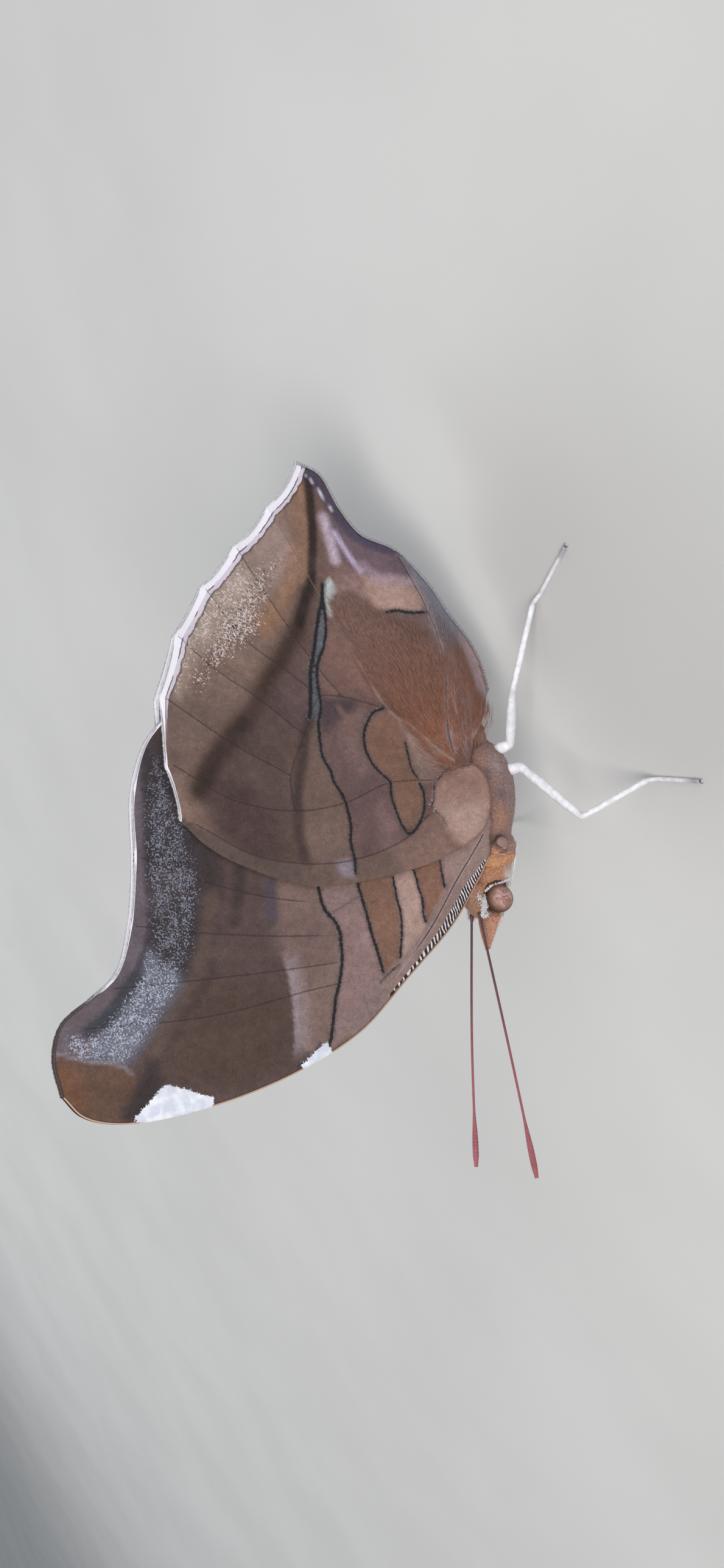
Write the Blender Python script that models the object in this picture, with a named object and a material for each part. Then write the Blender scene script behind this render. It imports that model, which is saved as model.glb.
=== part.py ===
"""Orion cecropian butterfly (Historis odius) at rest, life size, wings closed over the back.

+X runs to the tail, the head looks along -X, the left side faces -Y and the floor is z = 0.
All sizes below are in millimetres. The wings are described in the side view as (x, z) points,
and a height function then says how far each point lies from the middle plane.
"""

import math

import bmesh
import bpy
import numpy as np
from mathutils import Vector
from mathutils.geometry import delaunay_2d_cdt

METRES_PER_MM = 0.001

# Gaps and thicknesses
GAP = 0.3
WING_HALF = 0.25
VEIN_HALF = 0.42
VEIN_RISE = 0.2
WING_STACK = 1.05

# Thorax, an egg along the body's raised axis
THORAX_CENTRE = (-3.55, 0.0, 13.85)
BODY_TILT = math.radians(28)
THORAX_LONG = 8.6
THORAX_HIGH = 4.95
THORAX_WIDE = 4.1
THORAX_TAPER = 0.15
TEGULA_AT = (-9.0, 2.95, 16.1)
TEGULA_SIZE = (1.1, 0.8, 0.8)
COLLAR_AT = (-9.0, 0.0, 15.3)
COLLAR_SIZE = (3.6, 2.5, 3.2)

# Abdomen, lying in the trough between the hindwings
ABDOMEN_FRONT = (2.0, 0.0, 10.6)
ABDOMEN_TIP = (27.5, 0.0, 9.4)
ABDOMEN_RADIUS = 2.45
ABDOMEN_RINGS = 8

# Head
HEAD_CENTRE = (-14.6, 0.0, 19.3)
HEAD_SIZE = (2.6, 2.35, 3.0)
NECK_LINE = ((-8.7, 0.0, 14.9), (-12.0, 0.0, 16.9), (-14.3, 0.0, 18.5))
NECK_HIGH = (2.55, 2.5, 2.2)
NECK_WIDE = (1.9, 1.85, 1.8)
EYE_AT = (-14.9, 1.8, 18.5)
EYE_SIZE = (1.75, 1.45, 1.85)
PALP_LINE = ((-15.0, 1.0, 18.2), (-16.2, 1.0, 19.9), (-18.1, 0.9, 21.2), (-19.75, 0.42, 22.2))
PALP_DEEP = (1.25, 1.6, 0.9, 0.2)
PALP_THICK = (0.42, 0.45, 0.36, 0.16)
COIL_CENTRE = (-17.2, 0.0, 19.8)
COIL_RADIUS = 0.95
COIL_TURNS = 1.1
COIL_TUBE = 0.22
ANTENNA_ROOT = (-15.1, 0.8, 20.6)
ANTENNA_LEFT = ((-15.5, -0.9, 21.5), (-30.9, -3.2, 27.4), (-45.0, -5.5, 33.1))
ANTENNA_RIGHT = ((-15.5, 0.9, 21.6), (-29.2, 3.2, 28.2), (-43.0, 5.5, 34.2))
ANTENNA_SHAFT = 0.26
ANTENNA_CLUB = 0.46
CLUB_PART = 0.24

# Legs: points from inside the thorax to the tip of the tarsus, left side at -Y
MID_LEG = {
    "left": ((-1.2, -1.5, 10.0), (-1.7, -2.7, 7.6), (-10.4, -9.0, 7.0), (-9.7, -15.9, 0.8), (-12.0, -23.8, 0.22)),
    "right": ((-1.2, 1.5, 10.0), (-1.7, 2.7, 7.6), (-9.6, 9.4, 7.2), (-8.6, 15.6, 0.8), (-9.2, 23.8, 0.22)),
}
HIND_LEG = {
    "left": ((1.6, -1.2, 9.8), (1.4, -2.7, 7.5), (7.2, -8.0, 7.2), (15.8, -11.2, 0.8), (19.6, -21.0, 0.22)),
    "right": ((1.6, 1.2, 9.8), (1.4, 2.7, 7.5), (7.8, 8.3, 7.3), (16.6, 12.0, 0.8), (21.6, 20.9, 0.22)),
}
COXA_RADIUS = 0.75
FEMUR_RADIUS = 0.56
KNEE_RADIUS = 0.42
TIBIA_RADIUS = 0.38
TARSUS_RADIUS = 0.27
FORELEG_SIDE = 0.75
FORELEG_RADIUS = 0.28
FORELEG_PATH = ((3.6, -3.0), (4.4, -4.7), (6.2, -4.95), (8.6, -4.45), (10.3, -4.05), (11.2, -4.1))

# Forewing, left as seen: each run of the outline is one smooth curve
FOREWING_COSTA = ((-9.7, 17.6), (-12.0, 20.2), (-14.8, 25.0), (-17.8, 33.9), (-20.5, 42.3), (-20.8, 52.0),
                  (-19.3, 62.3), (-16.0, 72.3), (-13.2, 75.8), (-10.3, 76.8))
FOREWING_MARGIN = ((-10.3, 76.8), (-6.2, 75.8), (-3.4, 73.4), (-2.4, 69.4), (-1.2, 65.5), (2.6, 61.9), (8.8, 58.1),
                   (15.9, 54.6), (21.2, 51.0), (24.5, 46.4))
FOREWING_INNER = ((24.5, 46.4), (19.5, 39.8), (11.5, 30.2), (4.0, 22.4), (-1.2, 17.6), (-4.2, 15.9))
FOREWING_ROOT = ((-4.2, 15.9), (-5.6, 15.9), (-7.4, 16.9), (-9.7, 17.6))
FOREWING_VEINS = (
    ((-8.6, 18.3), (-13.0, 25.5), (-16.6, 35.0), (-19.2, 44.5), (-19.6, 53.0)),
    ((-7.4, 18.3), (-12.6, 27.0), (-15.4, 36.5), (-17.0, 46.0), (-17.2, 58.0), (-14.6, 69.0), (-11.4, 75.6)),
    ((-15.6, 38.0), (-13.6, 45.0), (-10.4, 58.0), (-5.0, 71.4)),
    ((-12.4, 40.6), (-9.4, 49.0), (-5.6, 59.0), (-2.6, 66.5)),
    ((-9.6, 39.4), (-5.4, 48.0), (-1.4, 55.2), (2.4, 61.2)),
    ((-5.9, 17.6), (-7.0, 26.0), (-7.8, 33.5), (-3.0, 43.5), (3.0, 51.4), (9.0, 57.2)),
    ((-7.2, 29.0), (-1.5, 38.0), (7.0, 46.6), (16.0, 53.6)),
    ((-4.6, 17.2), (2.0, 26.5), (11.0, 37.0), (22.4, 47.6)),
    ((-15.4, 36.5), (-12.4, 40.6), (-9.6, 39.4), (-7.8, 33.5)),
)

# Hindwing, which lies over the forewing
HINDWING_COSTA = ((1.8, 14.4), (-0.2, 13.9), (-2.8, 15.0), (-5.4, 16.6), (-6.8, 18.9), (-7.1, 24.0), (-5.4, 33.0),
                  (-2.6, 40.7), (3.2, 47.1), (7.0, 49.8), (10.9, 51.3))
HINDWING_MARGIN = ((10.9, 51.3), (15.6, 50.3), (20.2, 48.9), (24.9, 46.5), (28.9, 43.1), (33.3, 37.9), (36.7, 31.7),
                   (39.7, 25.1), (42.4, 19.7), (45.0, 15.6))
HINDWING_INNER = ((45.0, 15.6), (42.6, 13.4), (37.7, 13.0), (33.6, 11.9), (30.2, 8.9), (26.0, 7.4), (20.7, 6.0),
                  (15.5, 4.6), (11.9, 4.8), (8.7, 5.6))
HINDWING_ROOT = ((8.7, 5.6), (6.2, 9.0), (3.8, 12.2), (1.8, 14.4))
HINDWING_VEINS = (
    ((2.9, 15.6), (8.3, 17.8), (12.1, 20.2), (18.6, 20.7), (29.1, 21.3), (41.2, 22.2)),
    ((16.0, 25.1), (20.5, 26.2), (31.6, 27.9), (37.6, 28.6)),
    ((17.0, 27.8), (21.5, 30.1), (27.5, 33.4), (34.4, 34.8)),
    ((13.6, 32.5), (20.1, 35.6), (25.6, 38.9), (30.4, 40.9)),
    ((9.9, 36.6), (16.4, 41.3), (24.2, 46.0)),
    ((0.9, 17.4), (2.7, 21.6), (4.0, 25.6), (4.2, 32.0), (6.0, 38.3), (10.3, 44.4), (16.8, 48.9)),
    ((-1.0, 17.4), (-1.8, 22.6), (-3.0, 27.1), (-1.7, 36.4), (3.0, 44.6), (9.6, 49.8)),
    ((3.8, 15.0), (9.4, 13.0), (14.3, 11.0), (21.6, 9.5), (29.0, 9.0)),
    ((3.6, 15.4), (16.8, 16.2), (25.5, 15.6), (33.0, 14.9), (40.6, 15.2)),
    ((12.1, 20.2), (15.9, 25.2), (17.0, 27.8), (13.6, 32.5), (9.9, 36.6), (6.0, 38.3)),
)

# How coarse the meshes are
BORDER_STEP = 2.6
VEIN_STEP = 4.2
GRID_NEAR = 1.9
GRID_FAR = 4.4
NEAR_REACH = 13.0

COLOURS = {
    "wing": ((0.23, 0.13, 0.075), 0.8),
    "fur": ((0.24, 0.125, 0.06), 0.95),
    "eye": ((0.2, 0.08, 0.03), 0.25),
    "palp": ((0.5, 0.2, 0.05), 0.9),
    "antenna": ((0.28, 0.045, 0.04), 0.6),
    "leg": ((0.75, 0.74, 0.76), 0.75),
    "coil": ((0.12, 0.06, 0.03), 0.5),
}


def clear_scene():
    for old in list(bpy.data.objects):
        bpy.data.objects.remove(old)


def material(kind, name):
    """A new Principled material in the colour and roughness of this kind of surface."""
    colour, roughness = COLOURS[kind]
    made = bpy.data.materials.new(name)
    made.use_nodes = True
    shader = made.node_tree.nodes["Principled BSDF"]
    shader.inputs["Base Color"].default_value = (*colour, 1)
    shader.inputs["Roughness"].default_value = roughness
    shader.inputs["Metallic"].default_value = 0
    return made


def closed_object(name, points, faces, kind):
    """An object from points in millimetres, with its faces turned outward and shaded smooth."""
    mesh = bpy.data.meshes.new(name)
    mesh.from_pydata([Vector(p) * METRES_PER_MM for p in points], [], faces)
    work = bmesh.new()
    work.from_mesh(mesh)
    bmesh.ops.recalc_face_normals(work, faces=work.faces)
    work.to_mesh(mesh)
    work.free()
    mesh.shade_smooth()
    made = bpy.data.objects.new(name, mesh)
    bpy.context.scene.collection.objects.link(made)
    made.data.materials.append(material(kind, name))
    return made


def keep_largest(solid):
    """Drops loose scraps and sealed hollows, so that the object is one closed surface."""
    work = bmesh.new()
    work.from_mesh(solid.data)
    left = set(work.verts)
    pieces = []
    while left:
        start = left.pop()
        piece = {start}
        front = [start]
        while front:
            vertex = front.pop()
            for edge in vertex.link_edges:
                other = edge.other_vert(vertex)
                if other in left:
                    left.discard(other)
                    piece.add(other)
                    front.append(other)
        pieces.append(piece)
    largest = max(pieces, key=len)
    bmesh.ops.delete(work, geom=[v for v in work.verts if v not in largest], context="VERTS")
    work.to_mesh(solid.data)
    work.free()


def combine(solid, others, operation, solver="EXACT"):
    """Applies one Boolean for each other object, and removes those objects."""
    for other in others:
        step = solid.modifiers.new("Boolean", "BOOLEAN")
        step.operation = operation
        step.solver = solver
        step.object = other
        graph = bpy.context.evaluated_depsgraph_get()
        result = bpy.data.meshes.new_from_object(solid.evaluated_get(graph))
        solid.modifiers.clear()
        solid.data = result
        bpy.data.objects.remove(other)
    keep_largest(solid)


def body_point(along, up, side=0.0, centre=THORAX_CENTRE):
    """A point given forward along the raised body axis, up across it and to one side."""
    c, s = math.cos(BODY_TILT), math.sin(BODY_TILT)
    return (centre[0] - along * c + up * s, centre[1] + side, centre[2] + along * s + up * c)


def egg(name, centre, size, kind, taper=0.0, grow=0.0, around=20, rings=12):
    """An egg on the raised body axis: half-sizes along, sideways and up, thinner in front by taper."""
    long, wide, high = (value + grow for value in size)
    points = []
    for ring in range(1, rings):
        u = -math.cos(math.pi * ring / rings)
        p = math.sqrt(1 - u * u) * (1 - taper * u)
        for step in range(around):
            turn = 2 * math.pi * step / around
            points.append(body_point(long * u, high * p * math.cos(turn), wide * p * math.sin(turn), centre))
    points.append(body_point(-long, 0, 0, centre))
    points.append(body_point(long, 0, 0, centre))
    rear, front = len(points) - 2, len(points) - 1
    faces = []
    for step in range(around):
        after = (step + 1) % around
        faces.append((rear, step, after))
        for ring in range(rings - 2):
            a, b = ring * around, (ring + 1) * around
            faces.append((a + step, b + step, b + after, a + after))
        last = (rings - 2) * around
        faces.append((front, last + after, last + step))
    return closed_object(name, points, faces, kind)


def smooth_line(points, step):
    """Points about a step apart on a centripetal Catmull-Rom curve through the given points."""
    given = np.array(points, float)
    padded = np.vstack([2 * given[0] - given[1], given, 2 * given[-1] - given[-2]])
    fine = []
    for i in range(len(given) - 1):
        p = padded[i:i + 4]
        t = np.concatenate([[0.0], np.cumsum(np.sqrt(np.linalg.norm(np.diff(p, axis=0), axis=1)))])
        for s in np.linspace(t[1], t[2], 24, endpoint=False):
            a1 = ((t[1] - s) * p[0] + (s - t[0]) * p[1]) / (t[1] - t[0])
            a2 = ((t[2] - s) * p[1] + (s - t[1]) * p[2]) / (t[2] - t[1])
            a3 = ((t[3] - s) * p[2] + (s - t[2]) * p[3]) / (t[3] - t[2])
            b1 = ((t[2] - s) * a1 + (s - t[0]) * a2) / (t[2] - t[0])
            b2 = ((t[3] - s) * a2 + (s - t[1]) * a3) / (t[3] - t[1])
            fine.append(((t[2] - s) * b1 + (s - t[1]) * b2) / (t[2] - t[1]))
    fine = np.array(fine + [given[-1]])
    run = np.concatenate([[0.0], np.cumsum(np.linalg.norm(np.diff(fine, axis=0), axis=1))])
    count = max(2, int(round(run[-1] / step)) + 1)
    at = np.linspace(0, run[-1], count)
    return np.stack([np.interp(at, run, fine[:, k]) for k in range(given.shape[1])], axis=1)


def tube(name, line, radii, kind, sides=8, thick=None):
    """A tapered tube along a line. With thick, its section is an ellipse that is this half-size sideways."""
    line = np.array(line, float)
    count = len(line)
    tangents = np.gradient(line, axis=0)
    tangents /= np.linalg.norm(tangents, axis=1)[:, None]
    points = []
    sideways = np.array((0.0, 1.0, 0.0)) if abs(tangents[0][1]) < 0.7 else np.array((1.0, 0.0, 0.0))
    for i in range(count):
        sideways = sideways - tangents[i] * sideways.dot(tangents[i])
        sideways /= np.linalg.norm(sideways)
        upward = np.cross(sideways, tangents[i])
        wide = radii[i] if thick is None else thick[i]
        for step in range(sides):
            turn = 2 * math.pi * (step + 0.5) / sides
            points.append(line[i] + sideways * (wide * math.sin(turn)) + upward * (radii[i] * math.cos(turn)))
    faces = [tuple(range(sides)), tuple(range((count - 1) * sides, count * sides))]
    for i in range(count - 1):
        for step in range(sides):
            after = (step + 1) % sides
            a, b = i * sides, (i + 1) * sides
            faces.append((a + step, a + after, b + after, b + step))
    return closed_object(name, points, faces, kind)


def smooth_max(a, b, blend):
    return 0.5 * (a + b + np.sqrt((a - b) ** 2 + blend * blend))


def ease(low, high, value):
    t = np.clip((value - low) / (high - low), 0, 1)
    return t * t * (3 - 2 * t)


def thorax_axes(x, z):
    """The side-view place on the thorax: along its axis and up across it, each as a share of its half-size."""
    dx, dz = x - THORAX_CENTRE[0], z - THORAX_CENTRE[2]
    c, s = math.cos(BODY_TILT), math.sin(BODY_TILT)
    return (-dx * c + dz * s) / THORAX_LONG, (dx * s + dz * c) / THORAX_HIGH


def thorax_side(x, z):
    """Half-width of the thorax at a side-view point, 0 outside it."""
    u, v = thorax_axes(x, z)
    section = np.sqrt(np.clip(1 - u * u, 0, 1)) * (1 - THORAX_TAPER * u)
    return THORAX_WIDE * np.sqrt(np.clip(section ** 2 - v * v, 0, None))


def abdomen_room(x, z):
    """How far a wing bulges out to pass round the abdomen."""
    share = np.clip((x - ABDOMEN_FRONT[0]) / (ABDOMEN_TIP[0] - ABDOMEN_FRONT[0]), -0.3, 1.6)
    middle = ABDOMEN_FRONT[2] + (ABDOMEN_TIP[2] - ABDOMEN_FRONT[2]) * share
    reach = (ABDOMEN_RADIUS + 0.15) * (1 - ease(0.55, 1.35, share)) * ease(-0.3, 0.15, share)
    across = np.clip((z - middle) / (2.1 * ABDOMEN_RADIUS), -1, 1)
    return reach * (1 - across ** 2) ** 1.6


def forewing_height(x, z):
    """Distance of the forewing's middle surface from the middle plane."""
    u, v = thorax_axes(x, z)
    away = np.clip(np.hypot(u, v) / 1.75, 0, 1)
    rest = 0.45
    flare = rest + 3.7 * (1 - away ** 2) ** 2
    bow = 0.8 * np.exp(-(((x - 4) / 17) ** 2 + ((z - 40) / 17) ** 2))
    root = smooth_max(thorax_side(x, z) + GAP + WING_HALF, flare, 0.4)
    return smooth_max(root, rest + abdomen_room(x, z), 0.6) + bow


def hindwing_height(x, z):
    """The hindwing lies over the forewing and sinks toward the middle plane behind its inner margin."""
    start, end = Vector(FOREWING_INNER[-1]), Vector(FOREWING_INNER[0])
    along = (end - start).normalized()
    dx, dz = x - start.x, z - start.y
    behind = dx * along.y - dz * along.x
    length = np.clip(dx * along.x + dz * along.y - 6, 0, 40)
    sink = (WING_STACK - 0.15) * ease(0.9, 4.6 + 0.25 * length, behind)
    return forewing_height(x, z) + WING_STACK - sink


def line_distance(points, line):
    """Distance of each point to a line of short straight lengths."""
    best = np.full(len(points), np.inf)
    for a, b in zip(line[:-1], line[1:]):
        ab = b - a
        share = np.clip((points - a) @ ab / ab.dot(ab), 0, 1)
        best = np.minimum(best, np.linalg.norm(points - a - share[:, None] * ab, axis=1))
    return best


def inside(points, border):
    """Which points lie inside a closed border, by counting crossings."""
    found = np.zeros(len(points), bool)
    x, z = points[:, 0], points[:, 1]
    for a, b in zip(border, np.roll(border, -1, axis=0)):
        crosses = (a[1] > z) != (b[1] > z)
        rise = b[1] - a[1] if b[1] != a[1] else 1.0
        found ^= crosses & (x < a[0] + (z - a[1]) * (b[0] - a[0]) / rise)
    return found


def grid_points():
    """Staggered points over the side view, closer together round the wing roots."""
    rows = []
    for step, low, high in ((GRID_NEAR, 0.0, NEAR_REACH), (GRID_FAR, NEAR_REACH, 200.0)):
        rise = step * math.sqrt(3) / 2
        for row in range(int(90 / rise)):
            shift = 0.5 * step * (row % 2)
            for column in range(int(90 / step)):
                point = (-40 + shift + column * step, row * rise)
                away = math.dist(point, (THORAX_CENTRE[0], THORAX_CENTRE[2]))
                if low <= away < high:
                    rows.append(point)
    return np.array(rows)


def sheet_triangles(border, veins):
    """Triangles of a wing in the side view, with edges along the border and each vein and its two flanks."""
    points = [tuple(p) for p in border]
    edges = [(i, (i + 1) % len(points)) for i in range(len(points))]
    for line in veins:
        direction = np.gradient(line, axis=0)
        direction /= np.linalg.norm(direction, axis=1)[:, None]
        flank = np.stack([-direction[:, 1], direction[:, 0]], axis=1) * VEIN_HALF
        for rail in (line, line + flank, line - flank):
            first = len(points)
            points.extend(tuple(p) for p in rail)
            edges.extend((first + i, first + i + 1) for i in range(len(rail) - 1))
    fixed = np.array(points)
    loose = grid_points()
    loose = loose[inside(loose, border)]
    away = np.hypot(loose[:, 0] - THORAX_CENTRE[0], loose[:, 1] - THORAX_CENTRE[2])
    room = np.where(away < NEAR_REACH, 0.45 * GRID_NEAR, 0.45 * GRID_FAR)
    near = line_distance(loose, np.vstack([border, border[:1]]))
    for line in veins:
        near = np.minimum(near, line_distance(loose, line) - 0.5 * VEIN_HALF)
    loose = loose[near > room]
    flat = [Vector(p) for p in np.vstack([fixed, loose])]
    corners, _, faces, *_ = delaunay_2d_cdt(flat, edges, [], 0, 1e-4)
    corners = np.array([tuple(c) for c in corners])
    faces = np.array([tuple(f) for f in faces])
    return corners, faces[inside(corners[faces].mean(axis=1), border)]


def wing(name, runs, veins, height, side):
    """A wing 0.5 mm thick with its veins raised on the outer face, closed by a rim."""
    border = np.vstack([smooth_line(run, BORDER_STEP)[:-1] for run in runs])
    lines = [smooth_line(vein, VEIN_STEP) for vein in veins]
    corners, faces = sheet_triangles(border, lines)
    used = np.unique(faces)
    place = np.full(len(corners), -1)
    place[used] = np.arange(len(used))
    corners, faces = corners[used], place[faces]
    rise = np.zeros(len(corners))
    for line in lines:
        rise = np.maximum(rise, VEIN_RISE * np.clip(1 - line_distance(corners, line) / VEIN_HALF, 0, 1))
    middle = height(corners[:, 0], corners[:, 1])
    outer = np.stack([corners[:, 0], side * (middle + WING_HALF + rise), corners[:, 1]], axis=1)
    inner = np.stack([corners[:, 0], side * (middle - WING_HALF), corners[:, 1]], axis=1)
    count = len(corners)
    ends = np.concatenate([faces[:, [0, 1]], faces[:, [1, 2]], faces[:, [2, 0]]])
    directed = {tuple(int(k) for k in edge) for edge in ends}
    rim = [edge for edge in directed if edge[::-1] not in directed]
    closed = [tuple(int(k) for k in face) for face in faces]
    closed += [tuple(int(k) + count for k in face[::-1]) for face in faces]
    for a, b in rim:
        closed += [(b, a, a + count), (b, a + count, b + count)]
    return closed_object(name, np.vstack([outer, inner]), closed, "wing")


def mirrored(points, side):
    return [(p[0], side * p[1], p[2]) for p in points]


def thorax_solid(name, grow=0.0, finish=True):
    """The thorax with its collar and the two small shields over the forewing roots."""
    size = (THORAX_LONG, THORAX_WIDE, THORAX_HIGH)
    around, rings = (24, 18) if finish else (20, 14)
    body = egg(name, THORAX_CENTRE, size, "fur", THORAX_TAPER, grow, around, rings)
    extra = [egg("collar", COLLAR_AT, COLLAR_SIZE, "fur", 0, grow, 16, 8)]
    for side in (-1, 1):
        centre = (TEGULA_AT[0], side * TEGULA_AT[1], TEGULA_AT[2])
        extra.append(egg("tegula", centre, TEGULA_SIZE, "fur", 0, grow, 12, 8))
    combine(body, extra, "UNION")
    return body


def abdomen_solid():
    """A tapering abdomen with one shallow groove at the end of each ring."""
    radii, shares = [], []
    for ring in range(ABDOMEN_RINGS):
        for part, pinch in ((0.0, 0.95), (0.35, 1.0), (0.8, 1.01)):
            share = (ring + part) / ABDOMEN_RINGS
            profile = 0.8 + 0.2 * math.sin(math.pi * min(1, share / 0.7)) - 0.62 * float(ease(0.5, 1.05, share))
            shares.append(share)
            radii.append(ABDOMEN_RADIUS * profile * pinch)
    shares.append(1.0)
    radii.append(0.3 * ABDOMEN_RADIUS)
    front, tip = np.array(ABDOMEN_FRONT), np.array(ABDOMEN_TIP)
    line = [front + (tip - front) * share for share in shares]
    solid = tube("abdomen", line, radii, "fur", 16)
    combine(solid, [thorax_solid("room", GAP, False)], "DIFFERENCE")


def head_form(name, grow=0.0):
    return egg(name, HEAD_CENTRE, HEAD_SIZE, "fur", 0, grow, 24, 16)


def eye_form(name, side, grow=0.0, around=24, rings=16):
    centre = (EYE_AT[0], side * EYE_AT[1], EYE_AT[2])
    return egg(name, centre, EYE_SIZE, "eye", 0, grow, around, rings)


def head_solid():
    """The head with its neck, hollowed where the eyes sit and cut clear of the thorax."""
    head = head_form("head")
    combine(head, [tube("neck", NECK_LINE, NECK_HIGH, "fur", 20, NECK_WIDE)], "UNION")
    cutters = [eye_form("socket", side, GAP, 20, 12) for side in (-1, 1)]
    combine(head, cutters + [thorax_solid("room", GAP, False)], "DIFFERENCE")


def antenna_line(points, side):
    """The feeler's middle line, from a root inside the head to its tip."""
    root = (ANTENNA_ROOT[0], side * ANTENNA_ROOT[1], ANTENNA_ROOT[2])
    return np.vstack([[root], smooth_line(points, 1.7)])


def palp_solid(name, side):
    """A scaly palp, deep and flat-sided, that points forward and up beside its partner."""
    shares = np.linspace(0, 1, 9)
    given = np.linspace(0, 1, len(PALP_LINE))
    line = smooth_line(mirrored(PALP_LINE, side), 0.1)
    line = line[np.linspace(0, len(line) - 1, 9).astype(int)]
    deep = np.interp(shares, given, PALP_DEEP)
    thick = np.interp(shares, given, PALP_THICK)
    solid = tube(name, line, deep, "palp", 12, thick)
    cutters = [head_form("room", GAP), eye_form("room_eye", side, GAP, 20, 12)]
    antenna = antenna_line(ANTENNA_LEFT if side < 0 else ANTENNA_RIGHT, side)[:6]
    cutters.append(tube("room_antenna", antenna, [ANTENNA_SHAFT + GAP] * len(antenna), "antenna", 8))
    combine(solid, cutters, "DIFFERENCE", "MANIFOLD")


def coil_solid():
    """The tongue, rolled up between the palps."""
    line = []
    count = 34
    for i in range(count):
        share = i / (count - 1)
        turn = math.radians(-60) + 2 * math.pi * COIL_TURNS * share
        radius = COIL_RADIUS * (1 - 0.62 * share)
        line.append((COIL_CENTRE[0] - radius * math.sin(turn), 0.0, COIL_CENTRE[2] - radius * math.cos(turn)))
    solid = tube("proboscis", line, [COIL_TUBE] * count, "coil", 6, [0.8 * COIL_TUBE] * count)
    combine(solid, [head_form("room", GAP)], "DIFFERENCE")


def antenna_solid(name, points, side):
    """A thin feeler with a slender club over its last part."""
    line = antenna_line(points, side)
    share = np.linspace(0, 1, len(line))
    swell = ease(1 - CLUB_PART, 1 - 0.35 * CLUB_PART, share) * (1 - 0.55 * ease(0.95, 1.0, share))
    radii = ANTENNA_SHAFT + (ANTENNA_CLUB - ANTENNA_SHAFT) * swell
    solid = tube(name, line, radii, "antenna", 6)
    combine(solid, [head_form("room", GAP)], "DIFFERENCE")


def leg_solid(name, joints):
    """Coxa, thigh, shin and foot, with the foot's underside cut flat at the floor."""
    coxa, hip, knee, ankle, toe = (np.array(p) for p in joints)

    def between(a, b, share):
        return a + (b - a) * share

    line = [coxa, between(coxa, hip, 0.6), hip, between(hip, knee, 0.35), between(hip, knee, 0.75), knee,
            between(knee, ankle, 0.12), between(knee, ankle, 0.5), between(knee, ankle, 0.94)]
    radii = [COXA_RADIUS, COXA_RADIUS, 0.8 * COXA_RADIUS, FEMUR_RADIUS, 0.9 * FEMUR_RADIUS, KNEE_RADIUS,
             TIBIA_RADIUS, 0.9 * TIBIA_RADIUS, TIBIA_RADIUS]
    heel = between(ankle, toe, 0.16)
    heel[2] = toe[2]
    line += [heel] + [between(heel, toe, share) for share in (0.3, 0.55, 0.78, 1.0)]
    radii += [1.15 * TARSUS_RADIUS, TARSUS_RADIUS, 1.1 * TARSUS_RADIUS, TARSUS_RADIUS, TARSUS_RADIUS]
    solid = tube(name, line, radii, "leg", 8)
    low = tube("below_floor", [(-40, 0, -5), (40, 0, -5)], [5, 5], "leg", 4, [40, 40])
    square = math.sqrt(2)
    for vertex in low.data.vertices:
        vertex.co.y *= square
        vertex.co.z = (vertex.co.z + 0.005) * square - 0.005
    combine(solid, [low, thorax_solid("room", GAP, False)], "DIFFERENCE")


def foreleg_solid(name, side):
    """The small folded brush foot, lying along the underside of collar and neck."""
    line = [body_point(along, up, side * FORELEG_SIDE) for along, up in FORELEG_PATH]
    radii = [FORELEG_RADIUS] * (len(line) - 1) + [0.6 * FORELEG_RADIUS]
    solid = tube(name, line, radii, "leg", 8)
    neck = tube("room_neck", NECK_LINE, [high + GAP for high in NECK_HIGH], "fur", 20,
                [wide + GAP for wide in NECK_WIDE])
    cutters = [thorax_solid("room", GAP, False), head_form("room_head", GAP), neck]
    cutters.append(eye_form("room_eye", side, GAP, 20, 12))
    combine(solid, cutters, "DIFFERENCE")


def main():
    clear_scene()
    thorax_solid("thorax")
    abdomen_solid()
    head_solid()
    coil_solid()
    antenna_solid("antenna_left", ANTENNA_LEFT, -1)
    antenna_solid("antenna_right", ANTENNA_RIGHT, 1)
    forewing = (FOREWING_COSTA, FOREWING_MARGIN, FOREWING_INNER, FOREWING_ROOT)
    hindwing = (HINDWING_COSTA, HINDWING_MARGIN, HINDWING_INNER, HINDWING_ROOT)
    for word, side in (("left", -1), ("right", 1)):
        eye_form("eye_" + word, side)
        palp_solid("palp_" + word, side)
        foreleg_solid("foreleg_" + word, side)
        leg_solid("midleg_" + word, MID_LEG[word])
        leg_solid("hindleg_" + word, HIND_LEG[word])
        wing("forewing_" + word, forewing, FOREWING_VEINS, forewing_height, side)
        wing("hindwing_" + word, hindwing, HINDWING_VEINS, hindwing_height, side)


main()
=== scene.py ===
"""Looks of the orion cecropian butterfly: wings, furred body, head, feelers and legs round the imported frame.

Sizes are in millimetres unless a name says otherwise, and become metres where a mesh is made.
The wings are described in the side view as (x, z) points, as the solids are.
"""
import math

import bmesh
import bpy
import numpy as np
from mathutils import Matrix, Vector
from mathutils.geometry import delaunay_2d_cdt


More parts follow.
